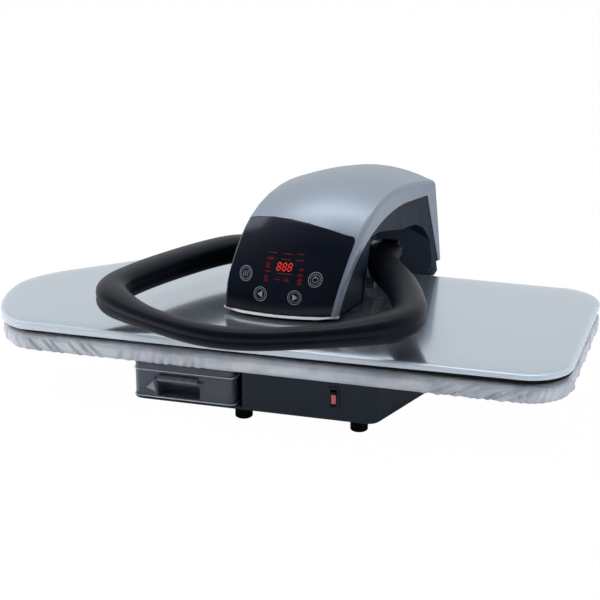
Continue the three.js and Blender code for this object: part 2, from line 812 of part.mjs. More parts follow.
// Hinge tower: steel frame on the floor plate, its cover, the shaft with two bushes and the
// pair of coil springs that hold the head up
function buildTower(body) {
  const floorTop = footHeight + bottomSheet + touchGap;
  const bushRadius = hingeBore / 2 + touchGap + bushWall;
  const inside = frameHalf - towerSheet;
  const front = hingeY - frameRound;
  const frame = cut(
    join(
      sideways(towerOutline(frameRound, floorTop), armX - frameHalf, armX + frameHalf),
      block(armX - frameHalf, armX + frameHalf, front - towerFlange, hingeY + frameRound + towerFlange,
        floorTop, floorTop + towerSheet)),
    block(armX - inside, armX + inside, front + towerSheet, hingeY + frameRound + overrun,
      floorTop + towerSheet, webTop + overrun),
    block(armX - inside, armX + inside, front - overrun, hingeY + frameRound + overrun,
      webTop, hingeZ + frameRound + overrun),
    block(armX - frameOpening, armX + frameOpening, front - overrun, hingeY,
      floorTop + towerSheet, webTop - hoseBend),
    rod(bushRadius + touchGap, armX - towerHalf, armX + towerHalf, hingeY, hingeZ));
  piece(body, 'tower_frame', frame, zincSteel());

  const skinRound = frameRound + touchGap;
  const cover = cut(
    sideways(towerOutline(skinRound + towerSkin, shellTop + touchGap),
      armX - towerHalf, armX + towerHalf),
    sideways(towerOutline(skinRound, shellTop), armX - towerInside, armX + towerInside),
    rod(bushRadius + touchGap, armX - armWidth, armX + armWidth, hingeY, hingeZ));
  piece(body, 'tower_cover', cover, softBlack());

  for (const [name, side] of [['left', -1], ['right', 1]]) {
    const at = (distance) => armX + side * distance;
    const span = (radius, near, far, sides) =>
      rod(radius, Math.min(at(near), at(far)), Math.max(at(near), at(far)), hingeY, hingeZ, sides);
    const seat = inside - touchGap;
    const bush = cut(
      join(span(bushRadius, seat - bushSkirt, towerHalf - touchGap),
        span(bushRadius + bushSkirt, seat - bushSkirt, seat)),
      span(hingeBore / 2 + touchGap, 0, towerHalf + overrun));
    piece(body, `hinge_bush_${name}`, bush, brass());

    const coil = [];
    const turns = springTurns * coilSteps;
    for (let i = 0; i <= turns; i += 1) {
      const angle = (i / coilSteps) * Math.PI * 2;
      coil.push([
        at(springStart + (i / coilSteps) * springPitch),
        hingeY - (springMean / 2) * Math.cos(angle),
        hingeZ - (springMean / 2) * Math.sin(angle),
      ]);
    }
    const legX = at(springStart + springTurns * springPitch);
    const legY = hingeY - frameRound + towerSheet + springWire / 2 + touchGap;
    coil.push([legX, legY, hingeZ - springLeg / 2], [legX, legY, hingeZ - springLeg]);
    piece(body, `lift_spring_${name}`,
      tube(smoothPath(coil), springWire / 2, 5, turns + coilSteps), brightSteel());
  }

  const end = armWidth / 2 + touchGap;
  const shaft = join(
    rod(hingeBore / 2, armX - end - bushSkirt, armX + end + bushSkirt, hingeY, hingeZ),
    rod(bushRadius, armX - end - bushSkirt, armX - end, hingeY, hingeZ),
    rod(bushRadius, armX + end, armX + end + bushSkirt, hingeY, hingeZ));
  piece(body, 'hinge_shaft', shaft, brightSteel());
}

// Upright outline with a round top about the hinge
function towerOutline(radius, foot) {
  const shape = new THREE.Shape();
  shape.moveTo(hingeY - radius, foot);
  shape.lineTo(hingeY + radius, foot);
  shape.lineTo(hingeY + radius, hingeZ);
  shape.absarc(hingeY, hingeZ, radius, 0, Math.PI);
  return shape;
}

// Padded board: steel tray, foam pad with a crown, and the cloth cover drawn in under the tray
function buildBoard(body) {
  const trayBottom = deckHeight + touchGap;
  const trayTop = trayBottom + trayRim;
  piece(body, 'board_tray', dish(plateOutline, [
    [trayInset + trayCorner, trayBottom], [trayInset, trayBottom + trayCorner],
    [trayInset, trayTop], [trayInset + traySheet, trayTop],
    [trayInset + traySheet, trayBottom + trayCorner + traySheet / 2],
    [trayInset + trayCorner + traySheet / 2, trayBottom + traySheet],
  ]), zincSteel());

  const padBottom = trayBottom + traySheet + touchGap;
  const padTop = boardTop - clothThickness - touchGap;
  piece(body, 'board_pad', dish(plateOutline, [
    [padInset + trayCorner, padBottom], [padInset, padBottom + trayCorner],
    [padInset, trayTop + touchGap * 2], [padInset - clothOut * 2, trayTop + traySheet * 2],
    [padInset + clothThickness, padTop - shoulder / 5], [shoulder + clothOut, padTop - padCrown],
    [shoulder, padTop, crownShare],
  ]), foam());

  const swell = (i) => Math.sin((i / clothSteps) * Math.PI * 2 * foldCount)
    * (1 + Math.sin((i / clothSteps) * Math.PI * 2 * foldGroups) / 2);
  const ring = ([drawnIn, z, folds, share = 1]) => {
    const edge = shrunk(inset(boardOutline, drawnIn), share);
    const deeper = inset(edge, foldDepth);
    return edge.map((point, i) => {
      const place = point.clone().lerp(deeper[i], folds * swell(i));
      return new THREE.Vector3(place.x, place.y, z);
    });
  };
  const inner = clothThickness;
  const drop = boardTop - padCrown;
  const stations = [
    [shoulder, boardTop, 0, crownShare],
    [shoulder, drop, 0],
    [shoulder * 0.35, drop - shoulder * 0.14, 0],
    [0, drop - shoulder * 0.42, 0.1],
    [-clothOut, drop - shoulder * 0.85, 0.25],
    [-clothOut, trayBottom + trayCorner, 0.5],
    [clothOut * 2, skirtBottom + clothThickness, 0.9],
    [skirtTuck, skirtBottom, 1],
    [skirtTuck + inner * 0.4, skirtBottom + inner, 1],
    [clothOut + inner * 1.5, skirtBottom + inner * 2.2, 0.9],
    [inner - clothOut, trayBottom + trayCorner, 0.5],
    [inner - clothOut, drop - shoulder * 0.9, 0.25],
    [shoulder * 0.35 + inner * 0.4, drop - shoulder * 0.14 - inner * 1.1, 0],
    [shoulder, drop - inner, 0],
    [shoulder, boardTop - inner, 0, crownShare],
  ];
  piece(body, 'board_cover', ringBody(stations.map(ring)), silverCloth());
}

// Water tank with a finger recess, its lid, filler plug and outlet valve
function buildTank(body) {
  const outline = (drawnIn) => {
    const [x0, x1] = [tankLeft + drawnIn, tankRight - drawnIn];
    const [y0, y1] = [tankFront + drawnIn, tankRear - drawnIn];
    const round = Math.max(tankCorner - drawnIn, tankWall);
    return roundedShape([[x0, y0, round], [x1, y0, round], [x1, y1, round], [x0, y1, round]]);
  };
  const bottom = footHeight + shelfThickness + railHeight + touchGap;
  const pocket = (grow, front) => block(
    recessLeft - grow, recessRight + grow, front, tankFront + recessDepth + grow,
    recessBottom - grow, recessTop + grow);
  const shell = cut(
    join(
      cut(upright(outline(0), bottom, tankTop, 4),
        upright(outline(tankWall), bottom + tankWall, tankTop + overrun, 4)),
      pocket(tankWall, tankFront + tankWall / 2),
      block(recessLeft - browReach, recessRight + browReach, tankFront - browReach,
        tankFront + tankWall / 2, recessTop, recessTop + browThickness)),
    pocket(0, tankFront - overrun),
    spigot(valveSize / 3 + touchGap, valveX, tankRear - tankWall - overrun, tankRear + overrun,
      valveHeight, 16));
  piece(body, 'water_tank', shell, smokeClear());

  const lidBottom = tankTop + touchGap;
  const lid = cut(
    join(
      upright(outline(0), lidBottom, lidBottom + lidFlange, 4),
      upright(outline(lidStep), lidBottom + lidFlange / 2, lidBottom + lidThickness, 4),
      cut(upright(outline(tankWall + touchGap), lidBottom - lidRim, lidBottom + lidFlange / 2, 4),
        upright(outline(tankWall * 2), lidBottom - lidRim - overrun, lidBottom, 4))),
    upright(outline(lidStep + tankWall), lidBottom - overrun * 2, lidBottom + lidThickness - lidFlange, 4),
    post(plugSize / 2 - plugHeight, plugX, plugY, tankTop - overrun, tankTop + lidThickness + overrun));
  piece(body, 'tank_lid', lid, softBlack());

  const plugBottom = lidBottom + lidThickness + touchGap;
  const neck = plugSize / 2 - plugHeight - touchGap;
  const plug = join(
    turned([
      [0, lidBottom], [neck - lidFlange, lidBottom], [neck - lidFlange / 2, lidBottom + lidFlange],
      [neck, plugBottom], [plugSize / 2, plugBottom], [plugSize / 2, plugBottom + lidFlange],
      [0, plugBottom + lidFlange],
    ], plugX, plugY, 20),
    block(plugX - plugSize / 3, plugX + plugSize / 3, plugY - lidFlange / 2, plugY + lidFlange / 2,
      plugBottom + lidFlange / 2, plugBottom + plugHeight + lidFlange / 2));
  piece(body, 'tank_filler_plug', plug, softBlack());

  const valve = cut(
    join(
      spigot(valveSize / 2, valveX, tankRear + touchGap, tankRear + valveLength, valveHeight),
      spigot(valveSize / 3, valveX, tankRear - tankWall - lidFlange, tankRear + valveLength / 2,
        valveHeight, 16)),
    spigot(valveSize / 6, valveX, tankRear - overrun * 2, tankRear + valveLength * 2, valveHeight, 12));
  piece(body, 'tank_outlet_valve', valve, whiteNylon());
}

// Heated plate: painted cover, moulded rim, sole with its holes, heating rod and thermal parts
function buildPlate(body) {
  const underside = plateTop - coverSheet;
  const stations = [
    [lipRound + lipRound / 3, plateTop], [lipRound * 0.3, plateTop - lipRound * 0.28],
    [0, plateTop - lipRound], [0, lipBottom], [coverSheet, lipBottom],
    [coverSheet, underside - lipRound * 0.8],
    [coverSheet + lipRound * 0.3, underside - lipRound * 0.24],
    [coverSheet + lipRound, underside],
  ];
  const cover = cut(solid(dish(plateOutline, stations)),
    post(pipeBore / 2 + slideGap, armX, pipeY, lipBottom, plateTop + overrun, 16));
  piece(body, 'plate_cover', cover, silverPaint());

  const rimOuter = coverSheet + touchGap;
  piece(body, 'plate_rim', dish(plateOutline, [
    [rimOuter + rimEdge, rimBottom], [rimOuter, rimBottom + rimEdge], [rimOuter, rimTop],
    [rimWidth, rimTop], [rimWidth, rimLedge], [rimStep, rimLedge], [rimStep, rimBottom],
  ], true), softBlack());

  const heaterZ = rimLedge + heaterBore / 2;
  const [left, right] = [plateShift - heaterSpan / 2, plateShift + heaterSpan / 2];
  const [near, far] = [plateMiddleY - heaterWidth / 2, plateMiddleY + heaterWidth / 2];
  const bend = heaterWidth / 4;
  const loop = smoothPath([
    [heaterEndX, near, heaterZ], [right - bend * 2, near, heaterZ],
    [right - bend / 2, near + bend / 3, heaterZ],
    [right, plateMiddleY, heaterZ], [right - bend / 2, far - bend / 3, heaterZ],
    [right - bend * 2, far, heaterZ], [plateShift, far, heaterZ], [left + bend * 2, far, heaterZ],
    [left + bend / 2, far - bend / 3, heaterZ], [left, plateMiddleY, heaterZ],
    [left + bend / 2, near + bend / 3, heaterZ], [left + bend * 2, near, heaterZ],
    [-heaterEndX, near, heaterZ],
  ]);
  piece(body, 'heating_element', tube(loop, heaterBore / 2, 6, 36), brightSteel());

  const soleInset = rimStep + touchGap;
  const flangeTop = rimLedge - touchGap;
  const holes = [];
  for (let i = 0; i < steamHoleCount; i += 1) {
    const x = plateShift + (i / (steamHoleCount - 1) - 0.5) * steamRowSpan;
    for (const y of [near + bend, far - bend]) {
      holes.push(post(steamHoleBore / 2, x, y, soleBottom - overrun, soleTop + overrun, 8));
    }
  }
  const chamber = upright(roundedShape([
    [left + bend, near + heaterBore * 2, bend], [right - bend, near + heaterBore * 2, bend],
    [right - bend, far - heaterBore * 2, bend], [left + bend, far - heaterBore * 2, bend],
  ]), soleBottom + rimEdge * 2, soleTop);
  const sole = cut(
    join(
      solid(dish(plateOutline, [
        [soleInset + rimEdge, soleBottom], [soleInset, soleBottom + rimEdge], [soleInset, flangeTop],
      ])),
      chamber),
    ...holes);
  piece(body, 'sole_plate', sole, castAluminium());

  const base = soleTop + touchGap;
  piece(body, 'thermostat',
    join(post(thermostatSize / 2, -thermostatSize, plateMiddleY, base, base + thermostatHeight / 2),
      post(thermostatSize / 3, -thermostatSize, plateMiddleY, base, base + thermostatHeight)),
    brass());
  piece(body, 'thermal_fuse',
    join(
      rod(fuseBore / 2, armX - fuseLength, armX, plateMiddleY - thermostatSize, base + fuseBore / 2, 12),
      rod(fuseBore / 5, armX - fuseLength * 1.6, armX + fuseLength * 0.6,
        plateMiddleY - thermostatSize, base + fuseBore / 2, 8)),
    whiteNylon());
}

// Arm: folded steel channel with the plate's mount in front, the neck saddle and the steam pipe
function buildArm(body) {
  const [left, right] = [armX - armWidth / 2, armX + armWidth / 2];
  const side = roundedShape([
    [armFront, armFloor, 0], [armFloorRear, armFloor, 0], [hingeY, hingeZ - armTail, 0],
    [hingeY + armTail, hingeZ, 0],
    [headRear - headSkin - slideGap * 2, notchTop - armSheet, 0],
    [headRear - headSkin - slideGap * 2, armFloor + armRearHeight, armSheet],
    [pivotY - armTail, armFloor + armRearHeight, armTail],
    [neckFront - armTail, armFloor + armFrontHeight * 1.5, armTail / 2],
    [armFront, armFloor + armFrontHeight, 0],
  ]);
  const flange = (x) => join(
    sideways(side, x, x + armSheet), rod(armTail, x, x + armSheet, hingeY, hingeZ));
  const holder = shaftBore / 2 + touchGap;
  const channel = cut(
    join(
      flange(left), flange(right - armSheet),
      block(left, right, armFront, armFloorRear, armFloor, armFloor + armSheet)),
    rod(hingeBore / 2 + touchGap, left - overrun, right + overrun, hingeY, hingeZ),
    rod(holder, left - overrun, right + overrun, pivotY, pivotZ),
    post(pipeBore / 2 + slideGap * 2, armX, pipeY, armFloor - overrun, armFloor + armSheet + overrun, 16));
  piece(body, 'arm_frame', channel, zincSteel());

  const seat = plateTop + touchGap;
  const mount = cut(
    upright(roundedShape([
      [armX - mountWidth / 2, mountY, mountRound], [armX + mountWidth / 2, mountY, mountRound],
      [armX + mountWidth / 2, mountY + mountDepth, mountRound],
      [armX - mountWidth / 2, mountY + mountDepth, mountRound],
    ]), seat, armFloor - touchGap, 5),
    post(pipeBore / 2 + slideGap, armX, pipeY, plateTop, armFloor, 16));
  piece(body, 'plate_mount', mount, castAluminium());

  const neckIn = armWidth / 2 + touchGap;
  const neck = cut(
    join(
      sideways(roundedShape([
        [neckFront, seat, 0], [neckRear, seat, 0], [neckRear, neckTop, neckFoot],
        [neckFront, neckTop, neckFoot * 1.5],
      ]), armX - neckHalf, armX + neckHalf),
      block(armX - neckHalf - neckFoot, armX + neckHalf + neckFoot, neckFront, neckRear,
        seat, seat + neckFootHeight)),
    block(armX - neckIn, armX + neckIn, neckFront - overrun, neckRear + overrun,
      armFloor - touchGap, neckTop + overrun),
    rod(holder, armX - neckHalf - overrun, armX + neckHalf + overrun, pivotY, pivotZ));
  piece(body, 'neck_saddle', neck, softBlack());

  const lane = left + armSheet + pipeBore;
  const level = armFloor + armSheet + pipeBore / 2 + slideGap;
  const pipe = smoothPath([
    [armX, pipeY, soleTop + runGap], [armX, pipeY, armFloor - armSheet],
    [armX, pipeY, armFloor + armSheet], [armX - pipeBore / 2, pipeY + pipeBore / 2, level - slideGap / 2],
    [armX - pipeBore, pipeY + pipeBore, level],
    [lane, pipeY + pipeRise * 2, level], [lane, pivotY - pipeRise, level], [lane, armFloorRear, level],
  ]);
  piece(body, 'steam_pipe', tube(pipe, pipeBore / 2, 6, 20), brass());
}

// Head: edge profile in y-z, left and right walls, and a crown between them
const headLength = headRear - headFront;
const headEdge = headProfileShares.map(([along, up]) =>
  new THREE.Vector3(headFront + along * headLength, headBottom + up * headHeight, 0));
const headCurve = new THREE.CatmullRomCurve3(headEdge, false, 'centripetal');
const headLeft = (y) => headLeftFront + headLeftLeanShare * (y - headFront);
const headRight = (y) => headRightFront
  + headRightFlare * Math.max(0, (y - headFront) / headLength) ** headFlarePower;

// Closed body under the head's surface, drawn in by a distance and carried below its foot
function headBody(drawnIn, below = 0, rear = headRear) {
  const foot = headBottom - below;
  const rings = [];
  for (let k = 0; k <= headSteps; k += 1) {
    const u = k / headSteps;
    const edge = headCurve.getPoint(u);
    const tangent = headCurve.getTangent(u);
    const inward = new THREE.Vector2(tangent.y, -tangent.x);
    const along = THREE.MathUtils.clamp((edge.x - headFront) / headLength, 0, 1);
    const crown = headBulge + (headCrown - headBulge) * along;
    const round = headEdgeRound;
    const place = (deep) => [edge.x + inward.x * deep, edge.y + inward.y * deep];
    const lean = (z, side) => (side < 0 ? headLean * along
      : THREE.MathUtils.lerp(-headSplay, headLean, along)) * Math.max(0, (z - headBottom) / headHeight);
    const upper = [];
    const corner = (side) => {
      const points = [];
      for (let i = 0; i <= edgeRoundSteps; i += 1) {
        const angle = (i / edgeRoundSteps) * (Math.PI / 2);
        const [y, z] = place(drawnIn + round * (1 - Math.sin(angle)));
        const wall = side < 0 ? headLeft(y) + drawnIn : headRight(y) - drawnIn;
        points.push(new THREE.Vector3(
          wall - side * (lean(z, side) + round * (1 - Math.cos(angle))), y, z));
      }
      return points;
    };
    const footOf = (point, side) => new THREE.Vector3(
      (side < 0 ? headLeft(point.y) + drawnIn : headRight(point.y) - drawnIn), point.y, foot);
    const [leftCorner, rightCorner] = [corner(-1), corner(1)];
    const [from, to] = [leftCorner.at(-1).x, rightCorner.at(-1).x];
    const swell = (t) => crown * (1 - (2 * t - 1) ** 2);
    upper.push(footOf(leftCorner[0], -1), ...leftCorner);
    for (let i = 1; i < headAcross; i += 1) {
      const t = i / headAcross;
      const [y, z] = place(drawnIn - swell(t));
      upper.push(new THREE.Vector3(from + (to - from) * t, y, z));
    }
    upper.push(...rightCorner.reverse(), footOf(rightCorner.at(-1), 1));
    for (let i = headAcross - 1; i > 0; i -= 1) {
      const t = i / headAcross;
      const [y] = place(drawnIn - swell(t));
      upper.push(new THREE.Vector3(from + (to - from) * t, y, foot));
    }
    rings.push(upper);
  }
  const upperCount = rings[0].length - (headAcross - 1);
  const body = solid(ringBody(rings, false, (points, first, count, reverse) =>
    stripCap(points, first, count, upperCount, reverse)));
  return common(body, block(-plateLength, plateLength, -plateDepth, rear, 0, plateLength));
}

// Triangles between a ring's upper row and its lower row, both running from left to right
function stripCap(points, first, count, upperCount, reverse) {
  const upper = Array.from({ length: upperCount }, (_, i) => first + i);
  const lower = [first];
  for (let i = count - 1; i >= upperCount; i -= 1) lower.push(first + i);
  lower.push(first + upperCount - 1);
  const index = [];
  let [u, l] = [0, 0];
  while (u < upper.length - 1 || l < lower.length - 1) {
    const canUpper = u < upper.length - 1;
    const canLower = l < lower.length - 1;
    const takeUpper = canUpper && (!canLower || points[upper[u + 1]].x <= points[lower[l + 1]].x);
    const corners = takeUpper
      ? [upper[u + 1], upper[u], lower[l]]
      : [lower[l], lower[l + 1], upper[u]];
    if (takeUpper) u += 1;
    else l += 1;
    if (new Set(corners).size === 3) index.push(...(reverse ? corners : corners.reverse()));
  }
  return index;
}

// Outline of the side panel that fills the arch of the cover, grown by a distance
function archShape(grow) {
  const shape = new THREE.Shape();
  shape.moveTo(archFrontY - grow, headBottom - overrun);
  shape.lineTo(archFrontY - grow, headBottom);
  shape.bezierCurveTo(
    archFrontY + archReach[0] - grow, headBottom + archRise + grow,
    archFrontY + archReach[1], archTopZ + grow,
    archMiddleY, archTopZ + grow);
  shape.lineTo(archRearY + grow, archRearTopZ + grow);
  shape.lineTo(archRearFootY + grow, headBottom - overrun);
  return shape;
}

// Head: silver cover, side panels, underside, control fascia, its trim and the electronics
function buildHead(body) {
  const outer = headBody(0);
  const inner = headBody(headSkin, overrun * 2, headRear - headSkin);
  const skin = outer.subtract(inner);
  const fasciaAt = (grow) => {
    const [left, right] = [headLeftFront + fasciaLeft - grow, headRightFront - fasciaRight + grow];
    const shape = new THREE.Shape();
    shape.moveTo(left, fasciaBottom - grow);
    shape.lineTo(right, fasciaBottom - grow);
    shape.lineTo(right + fasciaFlare - slideGap, fasciaTop - fasciaRound);
    shape.quadraticCurveTo(right + fasciaFlare, fasciaTop + grow,
      right + fasciaFlare - fasciaRound, fasciaTop + grow);
    shape.quadraticCurveTo((left + right) / 2, fasciaTop + fasciaArch * 2 + grow,
      left + fasciaLean + fasciaRound, fasciaTop + fasciaArch / 2 + grow);
    shape.quadraticCurveTo(left + fasciaLean, fasciaTop + fasciaArch / 2 + grow,
      left + fasciaLean - slideGap, fasciaTop - fasciaRound);
    const front = new THREE.Shape();
    front.moveTo(headFront - headEdgeRound * 4, headBottom - overrun);
    front.lineTo(headFront + fasciaDeep, headBottom - overrun);
    for (let i = 0; i <= headSteps; i += 1) {
      const edge = headCurve.getPoint(i / headSteps);
      const tangent = headCurve.getTangent(i / headSteps);
      front.lineTo(edge.x + tangent.y * fasciaDeep, edge.y - tangent.x * fasciaDeep);
    }
    front.lineTo(headRear, headBottom + headHeight * 2);
    front.lineTo(headFront - headEdgeRound * 4, headBottom + headHeight * 2);
    return common(
      frontal(shape, headFront - headEdgeRound * 3, pivotY, 6),
      sideways(front, -plateLength, plateLength));
  };
  const below = block(-plateLength, plateLength, 0, archFrontY + slideGap,
    headBottom - overrun, fasciaBottom);
  const arch = sideways(archShape(0), -plateLength, plateLength, 9);
  const [left, right] = [armX - armWidth / 2, armX + armWidth / 2 - armSheet];
  const ribs = [left, right].flatMap((x) => [
    [ribFrontY, armFloor + armFrontHeight * 2], [ribRearY, armFloor + armRearHeight + touchGap],
  ].map(([y, z]) => common(
    block(x, x + armSheet, y, y + ribWidth, z, headBottom + headHeight * 2),
    headBody(headSkin / 2))));
  const notch = block(armX - armWidth / 2 - slideGap, armX + armWidth / 2 + slideGap,
    headRear - headEdgeRound, headRear + overrun, headBottom - overrun, notchTop);
  const cover = cut(skin, fasciaAt(touchGap), below, arch, notch);
  piece(body, 'head_cover', join(cover, ...ribs), silverPaint());

  const recessed = headBody(cheekRecess).subtract(
    headBody(cheekRecess + headSkin, overrun * 2, headRear - headSkin));
  const panelArea = sideways(archShape(-touchGap), -plateLength, plateLength, 9);
  const panels = common(recessed, panelArea);
  const tail = common(
    block(headRight(cheekTailY) - headSkin * 2, headRight(headRear), cheekTailY, headRear - headSkin,
      cheekTail, headBottom + headEdgeRound),
    sideways(roundedShape([
      [cheekTailY, cheekTail, headSkin],
      [archRearFootY - touchGap, cheekTail + headEdgeRound, headSkin],
      [archRearFootY - headSkin, headBottom + headEdgeRound, 0],
      [cheekTailY, headBottom + headEdgeRound, 0],
    ]), 0, plateLength));
  const cheekDrop = headBottom - cheekTail;
  const armSide = armX + armWidth / 2;
  const planCorners = pocketPlan.map(([x, ahead]) => new THREE.Vector2(x, hingeY - ahead));
  const sideCorners = pocketSide.map(([ahead, z]) => new THREE.Vector2(hingeY - ahead, z));
  const pocketWalls = (grow) => common(
    upright(new THREE.Shape(inset(planCorners, -grow)), 0, plateLength),
    sideways(new THREE.Shape(inset(sideCorners, -grow)), 0, plateLength));
  const saddleRoom = join(
    block(0, armX + neckHalf + slideGap, neckFront - runGap, neckRear + runGap, 0, neckTop + runGap),
    block(0, armX + neckHalf + neckFoot + runGap, neckFront - runGap, neckRear + runGap,
      0, headBottom + headSkin + runGap));
  const lining = cut(
    common(pocketWalls(headSkin), headBody(cheekRecess, cheekDrop)),
    pocketWalls(0), saddleRoom);
  const rightHalf = block(armSide, plateLength, 0, plateLength, 0, plateLength);
  const rightPanel = common(common(join(cut(recessed, pocketWalls(0)), lining), panelArea), rightHalf);
  piece(body, 'cheek_right', join(rightPanel, common(tail, headBody(cheekRecess, cheekDrop))),
    softBlack());
  const leftPanel = common(panels, block(-plateLength, left - armSheet, 0, plateLength, 0, plateLength));
  piece(body, 'cheek_left', cut(leftPanel,
    rod(shaftBore / 2 + slideGap, -plateLength, 0, pivotY, pivotZ)), softBlack());

  const within = headBody(cheekRecess + headSkin + touchGap, overrun * 2);
  const under = cut(
    common(within, block(-plateLength, plateLength, archFrontY + touchGap, undersideRear,
      headBottom, headBottom + undersideThickness)),
    pocketWalls(headSkin + touchGap),
    block(armX - armWidth / 2 - runGap, armX + armWidth / 2 + runGap, armFront - slideGap,
      plateLength, 0, plateLength));
  piece(body, 'head_underside', under, softBlack());

  const fascia = cut(
    common(skin, fasciaAt(0)), sideways(archShape(touchGap), -plateLength, plateLength, 9));
  piece(body, 'control_fascia', fascia, glossBlack());

  const band = block(-plateLength, plateLength, 0, archFrontY - touchGap,
    headBottom, headBottom + trimHeight);
  const trim = common(headBody(-trimProud).subtract(inner), band);
  piece(body, 'fascia_trim', trim, brightSteel());

  const tilted = (shape) => shape.rotate([-THREE.MathUtils.radToDeg(panelTilt), 0, 0])
    .translate([panelShift, panelMiddleY, panelMiddleZ]);
  const pcb = block(-pcbWidth / 2, pcbWidth / 2, 0, boardSheet, -pcbHeight / 2, pcbHeight / 2);
  const corners = [-1, 1].flatMap((i) => [-1, 1].map((j) => spigot(standoff / 2,
    i * (pcbWidth / 2 - standoff), -headEdgeRound * 4, boardSheet / 2,
    j * (pcbHeight / 2 - standoff), 12)));
  const chip = block(-pcbWidth / 5, pcbWidth / 8, boardSheet / 2, boardSheet * 2,
    -pcbHeight / 6, pcbHeight / 6);
  piece(body, 'control_board', common(tilted(join(pcb, chip, ...corners)),
    headBody(headSkin + touchGap)), circuitGreen());
  const module = tilted(block(-displayWidth / 2, displayWidth / 2, -touchGap - displayDepth, -touchGap,
    displayRise - displayHeight / 2, displayRise + displayHeight / 2));
  piece(body, 'display_module', common(module, headBody(headSkin + touchGap)), whiteNylon());
}

// Handle centre line at one height, from the right root round the front to the left root
function handlePath() {
  const at = ([across, reach], shift = 0) =>
    [across * handleHalf + shift, pivotY - reach * handleReach, handleZ];
  const right = handleHalfShares.map((share) => at(share, handleShift));
  const left = handleHalfShares.slice(1).map(([across, reach]) => at([-across, reach], handleShift));
  const rootEnd = pivotY - shaftBore / 2 - runGap;
  const [rightRoot, leftRoot] = [at(rightRootShares), at(leftRootShares)];
  return smoothPath([
    [rightRoot[0], rootEnd, handleZ], rightRoot, ...right.reverse(),
    ...left, leftRoot, [leftRoot[0], rootEnd, handleZ],
  ]);
}

// Loop-shaped grip body: oval sections along the centre line, slimmer across the front
function gripBody(grow) {
  const path = handlePath();
  const rings = [];
  for (let k = 0; k <= gripSteps; k += 1) {
    const centre = path.getPointAt(k / gripSteps);
    const ahead = path.getTangentAt(k / gripSteps);
    const side = new THREE.Vector3(-ahead.y, ahead.x, 0).normalize();
    const slim = THREE.MathUtils.smoothstep((pivotY - centre.y) / handleReach, slimFromShare, slimToShare);
    const halfWidth = THREE.MathUtils.lerp(gripArmWidth, gripBarWidth, slim) / 2 + grow;
    const grown = THREE.MathUtils.smoothstep(
      (pivotY - centre.y) / handleReach, rootFromShare, rootToShare);
    const armHeight = THREE.MathUtils.lerp(gripRootHeight, gripArmHeight, grown);
    const halfHeight = THREE.MathUtils.lerp(armHeight, gripBarHeight, slim) / 2 + grow;
    const ring = [];
    for (let i = 0; i < gripSides; i += 1) {
      const angle = (i / gripSides) * Math.PI * 2;
      const [c, s] = [Math.cos(angle), Math.sin(angle)];
      const crease = i % (gripSides / 2) === 0 ? gripGroove : 0;
      const across = Math.sign(c) * Math.abs(c) ** gripSquareness * halfWidth - Math.sign(c) * crease;
      const up = Math.abs(s) < gripFlat ? 0 : Math.sign(s) * Math.abs(s) ** gripSquareness * halfHeight;
      ring.push(centre.clone().addScaledVector(side, across).add(new THREE.Vector3(0, 0, up)));
    }
    rings.push(ring);
  }
  return solid(ringBody(rings));
}

// Handle loop: two shells round a steel core, hubs at both roots and the shaft between them
function buildHandle(body) {
  const grip = gripBody(0);
  const coreHole = tube(handlePath(), coreBore / 2 + touchGap, 6, gripSteps);
  const hubRoom = rod(hubSize / 2 + touchGap, -plateLength, plateLength, pivotY, pivotZ);
  const half = (z0, z1) =>
    common(grip, block(-plateLength, plateLength, -plateLength, plateLength, z0, z1));
  piece(body, 'handle_upper_shell',
    cut(half(handleZ + touchGap / 2, plateLength), coreHole, hubRoom), softBlack());
  piece(body, 'handle_lower_shell',
    cut(half(0, handleZ - touchGap / 2), coreHole, hubRoom), softBlack());
  piece(body, 'handle_core', tube(handlePath(), coreBore / 2, 6, gripSteps), zincSteel());

  const leftHubX = [leftHubOuter, headLeft(pivotY) + leftHubSink];
  const shaftEnds = [leftHubX[0] + armSheet, rightHubX[1] - armSheet];
  const blind = rod(shaftBore / 2 + touchGap, shaftEnds[0] - touchGap, shaftEnds[1] + touchGap,
    pivotY, pivotZ);
  piece(body, 'handle_hub_right', cut(
    rod(hubSize / 2, rightHubX[0], rightHubX[1], pivotY, pivotZ), coreHole, blind), softBlack());
  piece(body, 'handle_hub_left', cut(
    rod(hubSize / 2, leftHubX[0], leftHubX[1], pivotY, pivotZ), coreHole, blind), softBlack());
  piece(body, 'handle_shaft', rod(shaftBore / 2, ...shaftEnds, pivotY, pivotZ), brightSteel());

  const collarFrom = armX + neckHalf + touchGap;
  piece(body, 'shaft_ferrule', cut(
    rod(ferruleBore / 2, collarFrom, rightHubX[0] - touchGap, pivotY, pivotZ),
    rod(shaftBore / 2 + touchGap, collarFrom - overrun, rightHubX[0] + overrun, pivotY, pivotZ)),
  brightSteel());

  const lobe = new THREE.Shape();
  lobe.absarc(pivotY, pivotZ, shaftBore * 0.8, -Math.PI / 8, Math.PI);
  lobe.lineTo(pivotY - camReach * 0.35, pivotZ - camReach * 0.85);
  lobe.lineTo(pivotY + camReach * 0.35, pivotZ - camReach * 0.85);
  const cam = cut(
    sideways(lobe, armX - camWidth / 2, armX + camWidth / 2),
    rod(shaftBore / 2 + touchGap, armX - camWidth, armX + camWidth, pivotY, pivotZ));
  piece(body, 'pressure_cam', cam, brass());
}

const bodies = {};
for (const name of ['base', 'rocker', 'tank', 'head', 'handle']) {
  bodies[name] = new THREE.Group();
  bodies[name].name = name;
  press.add(bodies[name]);
}
buildBase(bodies.base);
buildSwitch(bodies.base, bodies.rocker);
buildInside(bodies.base);
buildTower(bodies.base);
buildBoard(bodies.base);
buildTank(bodies.tank);
buildPlate(bodies.head);
buildArm(bodies.head);
buildHead(bodies.head);
buildHandle(bodies.handle);
press.position.y = -originY;

export default press;
